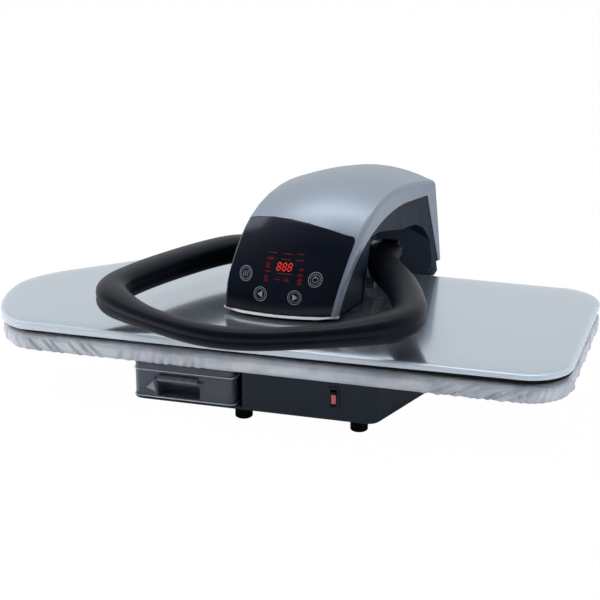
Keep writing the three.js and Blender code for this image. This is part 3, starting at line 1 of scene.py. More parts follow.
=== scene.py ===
# %% [markdown]
# This scene dresses an ironing press: a heated silver plate on a hinged arm, a padded board under
# it, a black handle loop in front and a base with a water tank. The engineering model gives every
# part its place, so the lesson starts by loading it and keeping its overall box.

# %% Load the frame
import json
import math

import bmesh
import bpy
from mathutils import Matrix, Vector
from mathutils.bvhtree import BVHTree


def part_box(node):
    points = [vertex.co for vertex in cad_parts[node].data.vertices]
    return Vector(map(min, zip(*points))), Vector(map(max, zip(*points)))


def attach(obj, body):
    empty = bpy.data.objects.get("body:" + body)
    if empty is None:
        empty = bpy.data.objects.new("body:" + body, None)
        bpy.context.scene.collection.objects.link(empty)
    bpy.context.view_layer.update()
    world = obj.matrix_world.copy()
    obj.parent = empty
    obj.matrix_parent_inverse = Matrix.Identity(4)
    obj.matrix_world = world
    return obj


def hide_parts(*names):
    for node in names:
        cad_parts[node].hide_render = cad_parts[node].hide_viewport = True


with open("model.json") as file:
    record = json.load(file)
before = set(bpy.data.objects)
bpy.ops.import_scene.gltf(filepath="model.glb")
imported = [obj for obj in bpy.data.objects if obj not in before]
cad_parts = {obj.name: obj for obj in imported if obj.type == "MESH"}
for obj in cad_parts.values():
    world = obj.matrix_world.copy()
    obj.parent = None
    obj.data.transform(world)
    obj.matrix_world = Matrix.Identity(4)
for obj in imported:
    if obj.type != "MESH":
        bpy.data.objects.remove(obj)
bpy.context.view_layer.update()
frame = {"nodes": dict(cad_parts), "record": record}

# %% [markdown]
# The photograph was taken from the front right and a little above, with a long lens. A real camera
# on a tripod has a place, an aim and a lens, so the scene sets the same three things. The aim is
# just above the middle of the plate, and the distance sets how large the press looks.

# %% Camera
MM = 0.001
AIM = Vector((6.3, 4.2, 109.5)) * MM
CAMERA_TURN = math.radians(16.56)
CAMERA_DROP = math.radians(19.2)
CAMERA_DISTANCE = 1.96385

lens = bpy.data.cameras.new("studio_camera")
lens.lens = 108
lens.sensor_width = 36
lens.clip_end = 50
camera = bpy.data.objects.new("studio_camera", lens)
away = Vector((
    math.sin(CAMERA_TURN) * math.cos(CAMERA_DROP),
    -math.cos(CAMERA_TURN) * math.cos(CAMERA_DROP),
    math.sin(CAMERA_DROP)))
camera.location = AIM + away * CAMERA_DISTANCE
camera.rotation_euler = (-away).to_track_quat("-Z", "Y").to_euler()
bpy.context.scene.collection.objects.link(camera)
bpy.context.scene.camera = camera
print("camera at", [round(v, 3) for v in camera.location])

# %% [markdown]
# Two small helpers carry all the materials. Web colours are written the way a screen shows them,
# while a shader works in linear light, so one function turns the first into the second. The other
# adds a shader node with its settings and its links in one line.

# %% Helpers for materials
def linear(code):
    """The linear colour of an sRGB hex value."""
    channels = [int(code[i:i + 2], 16) / 255 for i in (1, 3, 5)]
    return [c / 12.92 if c <= 0.04045 else ((c + 0.055) / 1.055) ** 2.4 for c in channels] + [1]


def add(tree, kind, inputs=(), **settings):
    """Adds a shader node; inputs maps a socket to a value or to the output it is linked to."""
    made = tree.nodes.new("ShaderNode" + kind)
    for key, value in settings.items():
        setattr(made, key, value)
    for socket, value in dict(inputs).items():
        if isinstance(value, bpy.types.NodeSocket):
            tree.links.new(value, made.inputs[socket])
        else:
            made.inputs[socket].default_value = value
    return made


def surface(name, colour, rough, **sockets):
    """Starts a material: an empty tree with one Principled shader. Returns material, tree, shader."""
    material = bpy.data.materials.new(name)
    material.use_nodes = True
    tree = material.node_tree
    tree.nodes.clear()
    shader = add(tree, "BsdfPrincipled", {"Base Color": linear(colour), "Roughness": rough})
    for socket, value in sockets.items():
        shader.inputs[socket.replace("_", " ")].default_value = value
    add(tree, "OutputMaterial", {"Surface": shader.outputs[0]})
    return material, tree, shader


def patches(tree, size_mm, detail=2.0, distortion=0.0):
    """Noise whose patches have a real size."""
    place = add(tree, "TexCoord")
    return add(tree, "TexNoise", {
        "Vector": place.outputs["Object"], "Scale": 1 / (size_mm * MM), "Detail": detail,
        "Distortion": distortion})


def mottle(tree, shader, dark, light, grain_mm, detail=3.0, low=0.35, high=0.65):
    """Lets the base colour drift between two tones."""
    noise = patches(tree, grain_mm, detail)
    ramp = add(tree, "ValToRGB", {"Fac": noise.outputs["Fac"]})
    ramp.color_ramp.elements[0].position, ramp.color_ramp.elements[1].position = low, high
    ramp.color_ramp.elements[0].color, ramp.color_ramp.elements[1].color = linear(dark), linear(light)
    tree.links.new(ramp.outputs["Color"], shader.inputs["Base Color"])


def grain(tree, shader, grain_mm, strength, height_mm=0.05):
    """Gives the surface a fine relief."""
    noise = patches(tree, grain_mm)
    bump = add(tree, "Bump", {
        "Height": noise.outputs["Fac"], "Strength": strength, "Distance": height_mm * MM})
    tree.links.new(bump.outputs["Normal"], shader.inputs["Normal"])


def uneven_gloss(tree, shader, patch_mm, low, high):
    """Lets the roughness drift, as handling and cleaning leave it."""
    noise = patches(tree, patch_mm)
    spread = add(tree, "MapRange", {"Value": noise.outputs["Fac"], "To Min": low, "To Max": high})
    tree.links.new(spread.outputs["Result"], shader.inputs["Roughness"])


FACING_UP = {"From Min": 0.9, "From Max": 0.9995}


def dulled_edges(tree, shader, metallic, rough):
    """Lets a coat that flows flat on top turn dull and less metallic where the sheet turns down."""
    facing = add(tree, "SeparateXYZ", {0: add(tree, "TexCoord").outputs["Normal"]}).outputs["Z"]
    metal = add(tree, "MapRange", {
        "Value": facing, **FACING_UP, "To Min": metallic,
        "To Max": shader.inputs["Metallic"].default_value})
    tree.links.new(metal.outputs["Result"], shader.inputs["Metallic"])
    dull = add(tree, "MapRange", {"Value": facing, **FACING_UP, "To Min": rough, "To Max": 0.0})
    rougher = add(tree, "Math", {
        0: shader.inputs["Roughness"].links[0].from_socket, 1: dull.outputs["Result"]},
        operation="MAXIMUM")
    tree.links.new(rougher.outputs[0], shader.inputs["Roughness"])


print("helpers ready")

# %% [markdown]
# The head's cover is injection-moulded ABS with a sprayed silver lacquer. Aluminium flakes in the
# lacquer make it half a metal: it has a broad, soft highlight and darkens toward its sides. The
# plate's steel cover has the same silver in a stoved, much glossier coat that mirrors the handle.

# %% Silver finishes
head_lacquer, tree, shader = surface(
    "silver_lacquered_abs", "#838D99", 0.42, Metallic=0.5, Coat_Weight=0.12, Coat_Roughness=0.25)
mottle(tree, shader, "#7E8894", "#89939E", 0.9)
grain(tree, shader, 0.8, 0.12, 0.02)
plate_lacquer, tree, shader = surface(
    "stoved_silver_steel", "#AEB8C1", 0.16, Metallic=0.85, Coat_Weight=0.6, Coat_Roughness=0.05)
mottle(tree, shader, "#AAB5BF", "#B2BCC4", 1.4)
uneven_gloss(tree, shader, 60, 0.13, 0.2)
dulled_edges(tree, shader, 0.12, 0.46)
trim_chrome, tree, shader = surface("satin_chromed_abs", "#FCFDFF", 0.3, Metallic=0.12)
uneven_gloss(tree, shader, 20, 0.26, 0.34)
polished_steel, tree, shader = surface("polished_steel", "#C9CCD0", 0.18, Metallic=1.0)
uneven_gloss(tree, shader, 8, 0.14, 0.26)
zinc_steel, tree, shader = surface("zinc_plated_steel", "#A4A9AD", 0.36, Metallic=1.0)
mottle(tree, shader, "#999FA4", "#B0B4B7", 6)
uneven_gloss(tree, shader, 9, 0.3, 0.46)
print("silver finishes", head_lacquer.name, plate_lacquer.name, trim_chrome.name)

# %% [markdown]
# The sole plate is die-cast aluminium that has been ground and polished on its ironing face, so it
# is smooth with faint directionless scratches. Brass, nylon and steel show only inside the head.

# %% Inner metals and mouldings
cast_aluminium, tree, shader = surface("polished_cast_aluminium", "#B9BCBE", 0.3, Metallic=1.0)
mottle(tree, shader, "#AEB2B5", "#C2C4C6", 3.5)
grain(tree, shader, 1.2, 0.1, 0.03)
brass, tree, shader = surface("turned_brass", "#B99A57", 0.3, Metallic=1.0)
uneven_gloss(tree, shader, 3, 0.24, 0.4)
nylon, tree, shader = surface("natural_nylon", "#E4E1D6", 0.5, Subsurface_Weight=0.1)
mottle(tree, shader, "#DEDACD", "#E9E6DC", 5)
grain(tree, shader, 1, 0.12)
circuit_green, tree, shader = surface("solder_resist_green", "#1F5B3C", 0.32, Coat_Weight=0.4)
mottle(tree, shader, "#184A31", "#2B6E49", 2.2, low=0.46, high=0.54)
element_sheath, tree, shader = surface("oxidised_heater_sheath", "#7C7467", 0.5, Metallic=0.9)
mottle(tree, shader, "#5D564D", "#948B7D", 5)
print("inner finishes", cast_aluminium.name, brass.name, nylon.name)

# %% [markdown]
# Two blacks make up most of the base and cheeks. The base is textured ABS, whose fine spark-eroded
# grain scatters light, so it looks charcoal. The handle has a soft-touch coat with a wide dull
# sheen. The control panel is the opposite: a clear, hard, glossy sheet over deep blue-black.

# %% Black finishes
base_abs, tree, shader = surface(
    "textured_charcoal_abs", "#212328", 0.46, Specular_IOR_Level=0.26,
    Specular_Tint=(0.7, 0.85, 1.0, 1.0))
mottle(tree, shader, "#1A1E25", "#20252D", 1.1)
grain(tree, shader, 0.7, 0.28, 0.05)
cheek_abs, tree, shader = surface(
    "textured_slate_abs", "#1E232D", 0.5, Specular_IOR_Level=0.1, Specular_Tint=(0.6, 0.78, 1.0, 1.0))
mottle(tree, shader, "#20262F", "#262C36", 1.1)
grain(tree, shader, 0.8, 0.2, 0.04)
soft_touch, tree, shader = surface(
    "soft_touch_black", "#08090C", 0.36, Specular_IOR_Level=0.14,
    Specular_Tint=(0.62, 0.76, 1.0, 1.0))
mottle(tree, shader, "#080A0F", "#0B0D12", 12)
uneven_gloss(tree, shader, 25, 0.34, 0.42)
panel_gloss, tree, shader = surface(
    "clear_coated_panel", "#0A0E17", 0.2, Specular_IOR_Level=0.16, Coat_Weight=0.24,
    Coat_Roughness=0.12)
mottle(tree, shader, "#0A0E16", "#0F131D", 40)
# The plate's rim is black moulding, made nearly black and dull as painted shade for the dark gap
# between the plate and the cloth.
phenolic_rim_painted_shade, tree, shader = surface("black_phenolic_painted_gap_shade", "#060709", 0.5, Specular_IOR_Level=0.08)
mottle(tree, shader, "#050608", "#090A0C", 2)
rubber, tree, shader = surface("moulded_rubber", "#060708", 0.72, Specular_IOR_Level=0.08)
mottle(tree, shader, "#050607", "#090A0C", 1.5)
grain(tree, shader, 0.9, 0.35)
print("black finishes", base_abs.name, cheek_abs.name, soft_touch.name, panel_gloss.name)

# %% [markdown]
# The tank is smoke-tinted clear plastic. Light passes its thin walls and is tinted each time, so
# the shader transmits most of the light. The lit digits and marks give off a little red of their own.

# %% Clear and glowing finishes
smoke_clear, tree, shader = surface(
    "smoke_polycarbonate", "#747C8C", 0.05, IOR=1.45, Transmission_Weight=0.8)
uneven_gloss(tree, shader, 30, 0.05, 0.1)
lens_red, tree, shader = surface(
    "red_switch_lens", "#96404E", 0.25, IOR=1.49, Transmission_Weight=0.2, Emission_Strength=0.25)
shader.inputs["Emission Color"].default_value = linear("#D8707C")
uneven_gloss(tree, shader, 3, 0.2, 0.32)
lit_digit, tree, shader = surface("lit_red_segment", "#5A0A06", 0.4, Emission_Strength=1.5)
shader.inputs["Emission Color"].default_value = linear("#FF3A1E")
mottle(tree, shader, "#5A0A06", "#6A100A", 1)
dim_mark, tree, shader = surface("dim_red_mark", "#2A0606", 0.4, Emission_Strength=0.24)
shader.inputs["Emission Color"].default_value = linear("#E01818")
mottle(tree, shader, "#260505", "#300807", 1)
# The pale bead colour is a painted highlight for light caught on the tank's seams.
tank_seam_painted_highlight, tree, shader = surface("pale_bead_painted_highlight", "#C4C9D2", 0.25, Specular_IOR_Level=0.6)
mottle(tree, shader, "#BAC0CA", "#CED3DA", 6)
smoke_edge, tree, shader = surface("smoke_plastic_lip", "#4A505C", 0.12, Coat_Weight=0.5)
mottle(tree, shader, "#454B57", "#505763", 8)
mark_ink, tree, shader = surface("grey_panel_ink", "#7C8189", 0.5)
mottle(tree, shader, "#767B83", "#858A92", 1)
print("clear and lit finishes", smoke_clear.name, lens_red.name)

# %% [markdown]
# The board's cover is a cotton cloth with an aluminised face, drawn tight over foam. Its weave is
# too fine for this picture, so the bump is drawn coarser than real threads. A second, softer bump
# crumples the cloth, and a little metal gives the silver its shine.

# %% Cloth and foam
cover_cloth, tree, shader = surface(
    "aluminised_cotton", "#A8ACB3", 0.4, Metallic=0.35, Sheen_Weight=0.15, Sheen_Roughness=0.5)
mottle(tree, shader, "#9EA3AB", "#B4B8BF", 22, detail=4)
FOLD_SIZE, FOLD_HEIGHT, THREAD_SCALE, THREAD_HEIGHT = 14, 1.6 * MM, 1 / (1.1 * MM) / 6.28, 0.1 * MM
folds = patches(tree, FOLD_SIZE, 4.0, 0.6)
place = add(tree, "TexCoord")
across, along = [
    add(tree, "TexWave", {
        "Vector": place.outputs["Object"], "Scale": THREAD_SCALE, "Distortion": 0.4},
        bands_direction=way) for way in "XY"]
weave = add(tree, "Math", {0: across.outputs["Fac"], 1: along.outputs["Fac"]}, operation="ADD")
crumple = add(tree, "Bump", {
    "Height": folds.outputs["Fac"], "Strength": 0.5, "Distance": FOLD_HEIGHT})
threads = add(tree, "Bump", {
    "Height": weave.outputs[0], "Normal": crumple.outputs["Normal"],
    "Strength": 0.16, "Distance": THREAD_HEIGHT})
tree.links.new(threads.outputs["Normal"], shader.inputs["Normal"])
pad_foam, tree, shader = surface("open_cell_foam", "#D9D3BE", 0.85)
mottle(tree, shader, "#CFC8B1", "#E0DBC8", 3)
grain(tree, shader, 1.6, 0.5, 0.3)
print("soft finishes", cover_cloth.name, pad_foam.name)

# %% [markdown]
# Every engineering part gets one of these finishes. A table from part to finish is easier to read
# and to change than a line for each. Parts that stay as they are take the finish in their slots.

# %% Finish of each part
FINISH = {
    "base_shell": base_abs, "base_floor_plate": base_abs, "foot_front_right": rubber,
    "foot_front_left": rubber, "foot_rear_right": rubber, "foot_rear_left": rubber,
    "cord_gland": rubber, "switch_housing": base_abs, "water_pump": nylon, "tank_dock": base_abs,
    "inlet_hose": nylon, "outlet_hose": nylon, "mains_board": circuit_green,
    "tower_frame": zinc_steel, "tower_cover": base_abs, "hinge_bush_left": nylon,
    "hinge_bush_right": nylon, "lift_spring_left": zinc_steel, "lift_spring_right": zinc_steel,
    "board_tray": zinc_steel, "board_pad": pad_foam, "board_cover": cover_cloth,
    "power_rocker": soft_touch, "water_tank": smoke_clear, "tank_lid": smoke_clear,
    "tank_filler_plug": rubber, "tank_outlet_valve": nylon, "plate_cover": plate_lacquer,
    "plate_rim": phenolic_rim_painted_shade, "heating_element": element_sheath, "sole_plate": cast_aluminium,
    "thermostat": polished_steel, "thermal_fuse": nylon, "arm_frame": zinc_steel,
    "plate_mount": zinc_steel, "neck_saddle": zinc_steel, "steam_pipe": polished_steel,
    "head_cover": head_lacquer, "cheek_right": cheek_abs, "cheek_left": cheek_abs,
    "head_underside": cheek_abs, "control_fascia": panel_gloss, "fascia_trim": trim_chrome,
    "control_board": circuit_green, "display_module": nylon, "hinge_shaft": polished_steel,
    "shaft_ferrule": trim_chrome, "handle_upper_shell": soft_touch,
    "handle_lower_shell": soft_touch, "handle_core": zinc_steel, "handle_hub_right": soft_touch,
    "handle_hub_left": soft_touch, "handle_shaft": polished_steel, "pressure_cam": brass,
}

for name, finish in FINISH.items():
    for slot in frame["nodes"][name].material_slots:
        slot.link = "OBJECT"
        slot.material = finish
print("finished", len(FINISH), "of", len(frame["nodes"]), "missing", set(frame["nodes"]) - set(FINISH))

# %% [markdown]
# The engineering mesh is cut from flat triangles. A moulded part looks smooth because light runs
# over its curves and breaks only at its edges. So each curved part is copied, its triangles are
# joined, and only edges sharper than a limit stay hard. The copy then stands for the part.

# %% Helpers for pieces
BODY_OF = {node: body for body, nodes in frame["record"]["behaviour"]["bodies"].items()
           for node in nodes}
ROW_SHIFT = 135.85
WELD, SLIVER, FLAT_BELOW = 0.004 * MM, 0.002 * MM, math.radians(1.0)


def turned(degrees, axis):
    """A turn about one axis."""
    return Matrix.Rotation(math.radians(degrees), 4, axis)


def rounded(mesh, edge_mm, segments):
    """Bevels every edge of a bmesh."""
    bmesh.ops.bevel(mesh, geom=mesh.edges, offset=edge_mm * MM, segments=segments, profile=0.5,
                    affect="EDGES", material=-1)


def from_plate(x, y, z):
    """A place in metres, from millimetres measured back from the plate's front edge."""
    return Vector((x, y - ROW_SHIFT, z)) * MM


def keep(mesh, name, body, finish, smooth_below=35, corrected=True):
    """Turns a bmesh into a piece that rides on a body. Edges above the limit stay hard."""
    if corrected:
        bmesh.ops.recalc_face_normals(mesh, faces=mesh.faces)
    for face in mesh.faces:
        face.smooth = True
    for edge in mesh.edges:
        edge.smooth = edge.calc_face_angle(0) < math.radians(smooth_below)
    data = bpy.data.meshes.new(name)
    mesh.to_mesh(data)
    mesh.free()
    data.materials.append(finish)
    piece = bpy.data.objects.new(name, data)
    bpy.context.scene.collection.objects.link(piece)
    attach(piece, body)
    return piece


def joined(node):
    """A bmesh of an engineering part with its loose triangles joined into faces."""
    mesh = bmesh.new()
    mesh.from_mesh(frame["nodes"][node].data)
    bmesh.ops.remove_doubles(mesh, verts=mesh.verts, dist=WELD)
    bmesh.ops.dissolve_degenerate(mesh, dist=SLIVER, edges=mesh.edges)
    bmesh.ops.dissolve_limit(mesh, angle_limit=FLAT_BELOW, use_dissolve_boundaries=False,
                             verts=mesh.verts, edges=mesh.edges)
    return mesh


def smoothed(node, name, smooth_below=35):
    """The same part with smooth curves, in place of the engineering one."""
    piece = keep(joined(node), name, BODY_OF[node], FINISH[node], smooth_below, corrected=False)
    if "custom_normal" in piece.data.attributes:
        piece.data.attributes.remove(piece.data.attributes["custom_normal"])
    weighted = piece.modifiers.new("area_weighted_normals", "WEIGHTED_NORMAL")
    weighted.keep_sharp = True
    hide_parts(node)
    return piece


SMOOTHED = {
    "head_cover": ("head_shell", 30), "cheek_right": ("cheek_panel_right", 30),
    "cheek_left": ("cheek_panel_left", 30), "control_fascia": ("glossy_fascia", 30),
    "fascia_trim": ("chrome_trim", 30),
    "plate_rim": ("plate_rim_ring", 40), "base_shell": ("base_moulding", 30),
    "water_tank": ("tank_moulding", 30), "tank_lid": ("tank_lid_moulding", 30),
    "tower_cover": ("tower_shroud", 30), "shaft_ferrule": ("ferrule", 30),
    "handle_hub_right": ("hub_right", 30), "handle_hub_left": ("hub_left", 30),
    "handle_core": ("core_tube", 40), "heating_element": ("heater_tube", 40),
    "inlet_hose": ("silicone_inlet", 45), "outlet_hose": ("silicone_outlet", 45),
    "steam_pipe": ("steam_tube", 45), "foot_front_right": ("rubber_foot_front_right", 30),
    "foot_front_left": ("rubber_foot_front_left", 30),
    "foot_rear_right": ("rubber_foot_rear_right", 30),
    "foot_rear_left": ("rubber_foot_rear_left", 30), "power_rocker": ("rocker_key", 30),
    "lift_spring_left": ("coil_spring_left", 50), "lift_spring_right": ("coil_spring_right", 50),
}
for node, (name, limit) in SMOOTHED.items():
    smoothed(node, name, limit)
print("smoothed", len(SMOOTHED))

# %% [markdown]
# The handle is a steel tube inside two soft black half shells. Its section is a rounded oval that
# is wider on the arms than on the front bar, with a fine parting groove on both sides. A ring of
# points is carried along the loop: each step extrudes the last ring and moves it to its new place.

# %% Handle loop
PIVOT_Y, LOOP_Z, REACH, HALF, SHIFT = 256.0, 140.0, 329.0, 158.5, -7.5
LOOP_SHARES = [
    (0, 1), (0.2, 0.986), (0.4, 0.948), (0.6, 0.9), (0.76, 0.848), (0.9, 0.788), (0.985, 0.72),
    (1, 0.65), (0.95, 0.55), (0.81, 0.383), (0.6, 0.2)]
ROOT_RIGHT, ROOT_LEFT = (0.486, 0.055), (-0.38, 0.055)
ROOT_END = PIVOT_Y - 6.6
LOOP_STEPS, FINE_STEPS = 150, 24


def loop_points():
    """The loop's centre points in millimetres, from the right root round the front to the left."""
    def at(share, shift=0.0):
        return Vector((share[0] * HALF + shift, PIVOT_Y - share[1] * REACH, LOOP_Z))
    right = [at(share, SHIFT) for share in LOOP_SHARES]
    left = [at((-x, y), SHIFT) for x, y in LOOP_SHARES[1:]]
    root_right, root_left = at(ROOT_RIGHT), at(ROOT_LEFT)
    return ([Vector((root_right.x, ROOT_END, LOOP_Z)), root_right] + right[::-1] + left
            + [root_left, Vector((root_left.x, ROOT_END, LOOP_Z))])


def through(points, steps):
    """Points on a smooth curve through the given ones, in even steps of length."""
    padded = [points[0] * 2 - points[1]] + points + [points[-1] * 2 - points[-2]]
    fine = []
    for a, b, c, d in zip(padded, padded[1:], padded[2:], padded[3:]):
        t1, t2, t3 = ((b - a).length ** 0.5, (c - b).length ** 0.5, (d - c).length ** 0.5)
        m1 = (b - a) / t1 - (c - a) / (t1 + t2) + (c - b) / t2
        m2 = (c - b) / t2 - (d - b) / (t2 + t3) + (d - c) / t3
        m1, m2 = m1 * t2, m2 * t2
        for i in range(FINE_STEPS):
            t = i / FINE_STEPS
            fine.append(b * (2 * t**3 - 3 * t**2 + 1) + m1 * (t**3 - 2 * t**2 + t)
                        + c * (-2 * t**3 + 3 * t**2) + m2 * (t**3 - t**2))
    fine.append(points[-1])
    lengths = [0.0]
    for a, b in zip(fine, fine[1:]):
        lengths.append(lengths[-1] + (b - a).length)
    even, k = [], 0
    for i in range(steps + 1):
        want = lengths[-1] * i / steps
        while k < len(fine) - 2 and lengths[k + 1] < want:
            k += 1
        share = (want - lengths[k]) / max(1e-9, lengths[k + 1] - lengths[k])
        even.append(fine[k].lerp(fine[k + 1], min(1.0, share)))
    return even


loop = through(loop_points(), LOOP_STEPS)
print("handle loop", round(sum((b - a).length for a, b in zip(loop, loop[1:]))), "mm long")

# %% [markdown]
# Each half shell is one half of the oval, swept along the loop. The section grows from a low root
# to the full arm and then slims down to the front bar, where the fingers close round it.

# %% Handle shells
def loft(rings):
    """A bmesh that joins rings of equal count, each extruded from the one before."""
    mesh = bmesh.new()
    verts = [mesh.verts.new(p) for p in rings[0]]
    line = [mesh.edges.new(pair) for pair in zip(verts, verts[1:] + verts[:1])]
    for ring in rings[1:]:
        out = bmesh.ops.extrude_edge_only(mesh, edges=line)["geom"]
        line = [g for g in out if isinstance(g, bmesh.types.BMEdge)]
        verts = [g for g in out if isinstance(g, bmesh.types.BMVert)]
        for vert, place in zip(verts, ring):
            vert.co = place
    return mesh, line


def closed_loft(rings):
    """The same with both ends filled."""
    mesh, last = loft(rings)
    bmesh.ops.contextual_create(mesh, geom=last)
    bmesh.ops.contextual_create(mesh, geom=[e for e in mesh.edges if e.is_boundary])
    return mesh


ARM_SECTION, BAR_SECTION, ROOT_HEIGHT = (35.0, 30.0), (23.0, 22.0), 18.0
SQUARENESS, GROOVE_DEPTH, GROOVE_SIDE = 0.77, 1.3, 0.25
ROOT_GROWS, BAR_SLIMS = (0.02, 0.17), (0.76, 0.93)


def eased(value, low, high):
    """Goes smoothly from 0 at low to 1 at high."""
    share = min(1.0, max(0.0, (value - low) / (high - low)))
    return share * share * (3 - 2 * share)


def half_section(side, count=18):
    """Points of one half of the rounded oval for a unit width and height, groove to groove."""
    points = []
    for i in range(count + 1):
        angle = math.pi * i / count
        c, s = math.cos(angle), math.sin(angle)
        across = math.copysign(abs(c) ** SQUARENESS, c)
        up = max(0.0, s) ** SQUARENESS
        points.append((across, side * up))
    return points


def shell_half(name, node, side):
    """Sweeps one half of the section along the loop and closes it with a flat inner face."""
    rings = []
    section = half_section(side)
    for k, centre in enumerate(loop):
        ahead = (loop[min(k + 1, len(loop) - 1)] - loop[max(k - 1, 0)]).normalized()
        sideways = Vector((-ahead.y, ahead.x, 0))
        slim = eased((PIVOT_Y - centre.y) / REACH, *BAR_SLIMS)
        grown = eased((PIVOT_Y - centre.y) / REACH, *ROOT_GROWS)
        arm_height = ROOT_HEIGHT * (1 - grown) + ARM_SECTION[1] * grown
        wide = (ARM_SECTION[0] * (1 - slim) + BAR_SECTION[0] * slim) / 2
        high = (arm_height * (1 - slim) + BAR_SECTION[1] * slim) / 2
        ring = []
        for i, (u, w) in enumerate(section):
            from_edge = min(i, len(section) - 1 - i)
            groove = {0: GROOVE_DEPTH, 1: GROOVE_SIDE}.get(from_edge, 0)
            place = centre + sideways * (u * wide - math.copysign(groove, u))
            ring.append(from_plate(place.x, place.y, place.z + w * high))
        rings.append(ring)
    piece = keep(closed_loft(rings), name, "handle", soft_touch, 50)
    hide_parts(node)
    return piece


upper_grip = shell_half("upper_grip_shell", "handle_upper_shell", 1)
lower_grip = shell_half("lower_grip_shell", "handle_lower_shell", -1)
print("handle shells", len(upper_grip.data.vertices), len(lower_grip.data.vertices))

# %% [markdown]
# The board is a steel tray with foam and a fitted cloth. All three follow the plate's outline: a
# round nose on the left, a straight taper behind it and a square end with round corners. One
# function walks round this outline in even steps, so that the cloth can have many fine gathers.

# %% Plate outline
PLATE_LENGTH, PLATE_DEPTH, CORNER = 640.0, 280.0, 47.0
NOSE_DEPTH, NOSE_MIDDLE = 64.0, 110.0
TAPER_START, TAPER_END, TAPER_RUN = (34.0, 178.0), (128.0, 264.0), 36.0
MIDDLE_Y = 140.0
OUTLINE_POINTS, CORNER_STEPS = 1080, 120


def bezier(points, count):
    """Points on a curve of any order through repeated blending, without its last point."""
    made = []
    for i in range(count):
        row = [Vector(p) for p in points]
        while len(row) > 1:
            row = [a.lerp(b, i / count) for a, b in zip(row, row[1:])]
        made.append(row[0])
    return made


def arc(cx, cy, radius, start, end, count):
    """Points on an arc, without its last point."""
    return [Vector((cx + radius * math.cos(math.radians(start + (end - start) * i / count)),
                    cy + radius * math.sin(math.radians(start + (end - start) * i / count))))
            for i in range(count)]


def plate_outline(count):
    """The outline in even steps, in millimetres, running from the nose over the rear."""
    right, left = PLATE_LENGTH / 2, -PLATE_LENGTH / 2
    (tsx, tsy), (tex, tey) = TAPER_START, TAPER_END
    slope = (tex - tsx) / (tey - tsy)
    path = bezier([(left + NOSE_DEPTH, 0), (left + NOSE_DEPTH * 0.42, 0),
                   (left, NOSE_MIDDLE * 0.54), (left, NOSE_MIDDLE)], 40)
    path += bezier([(left, NOSE_MIDDLE), (left, NOSE_MIDDLE + (tsy - NOSE_MIDDLE) * 0.38),
                    (left + tsx * 0.42, NOSE_MIDDLE + (tsy - NOSE_MIDDLE) * 0.7),
                    (left + tsx, tsy)], 30)
    path += bezier([(left + tsx, tsy), (left + tex, tey)], 20)
    path += bezier([(left + tex, tey), (left + tex + (PLATE_DEPTH - tey) * slope, PLATE_DEPTH),
                    (left + tex + TAPER_RUN, PLATE_DEPTH)], 20)
    path += [Vector((left + tex + TAPER_RUN, PLATE_DEPTH))]
    path += arc(right - CORNER, PLATE_DEPTH - CORNER, CORNER, 90, 0, CORNER_STEPS)
    path += arc(right - CORNER, CORNER, CORNER, 0, -90, CORNER_STEPS)
    path += [Vector((right - CORNER, 0))]
    total = sum((b - a).length for a, b in zip(path, path[1:] + path[:1]))
    even, walked, k = [], 0.0, 0
    ends = path[1:] + path[:1]
    for i in range(count):
        want = total * i / count
        while walked + (ends[k] - path[k]).length < want:
            walked += (ends[k] - path[k]).length
            k += 1
        even.append(path[k].lerp(ends[k], (want - walked) / (ends[k] - path[k]).length))
    return even


outline = plate_outline(OUTLINE_POINTS)
outward = []
for before, after in zip(outline[-1:] + outline[:-1], outline[1:] + outline[:1]):
    step = (after - before).normalized()
    outward.append(Vector((-step.y, step.x)))
perimeter = sum((b - a).length for a, b in zip(outline, outline[1:] + outline[:1]))
print("outline", len(outline), "points", round(perimeter), "mm round")

# %% [markdown]
# Plate, foam and cloth are lofted from that outline. Each station of a loft is the outline drawn
# in by some distance at some height. The cloth's skirt also gets gathers: it is drawn in under the
# tray, so slanting folds of uneven width grow from nothing at the top to deepest above the hem.

# %% Rings and creases
def ring_at(drawn_in, height, fold=0.0, share=1.0, pattern=None):
    """One ring of a loft in metres."""
    made = []
    for i, (point, out) in enumerate(zip(outline, outward)):
        push = -drawn_in + (fold * pattern(i, height) if pattern else 0.0)
        place = point + out * push
        place = Vector((place.x * share, MIDDLE_Y + (place.y - MIDDLE_Y) * share))
        made.append(from_plate(place.x, place.y, height))
    return made


def from_front(x):
    """Distance walked along the outline to a place on its straight front edge, given by its x."""
    return perimeter - (x + PLATE_LENGTH / 2 - NOSE_DEPTH)


SLANT_FROM, CREASE_REACH, CREASE_PEAK = 78, 4, 2.33
CREASES = []
for k in range(6):
    CREASES.append((from_front(-246 + 15 * k + 4 * math.sin(2.3 * k)), 2.6 + 0.6 * math.sin(1.7 * k),
                    1.0, 1.3 + 0.4 * math.sin(3.1 * k)))
for k in range(9):
    CREASES.append((from_front(-150 + 11.5 * k + 3 * math.sin(2.3 * k)), 2.8 + 0.8 * math.sin(1.7 * k),
                    -0.4, 1.2 + 0.5 * math.sin(3.1 * k)))
for k in range(8):
    CREASES.append((from_front(186 + 11 * k + 3 * math.sin(1.9 * k)), 3.6 + 0.9 * math.sin(2.9 * k),
                    -1.5, 1.7 + 0.5 * math.sin(1.3 * k)))
for k in range(12):
    CREASES.append((from_front(270 + 8 * k), 2.8, -0.3, 0.7 + 0.25 * math.sin(2.1 * k)))
for k in range(96):
    CREASES.append((11.5 * k + 4 * math.sin(2.7 * k), 3.0 + math.sin(1.1 * k), 0.5 * math.sin(0.9 * k),
                    0.6 + 0.4 * math.sin(1.7 * k)))


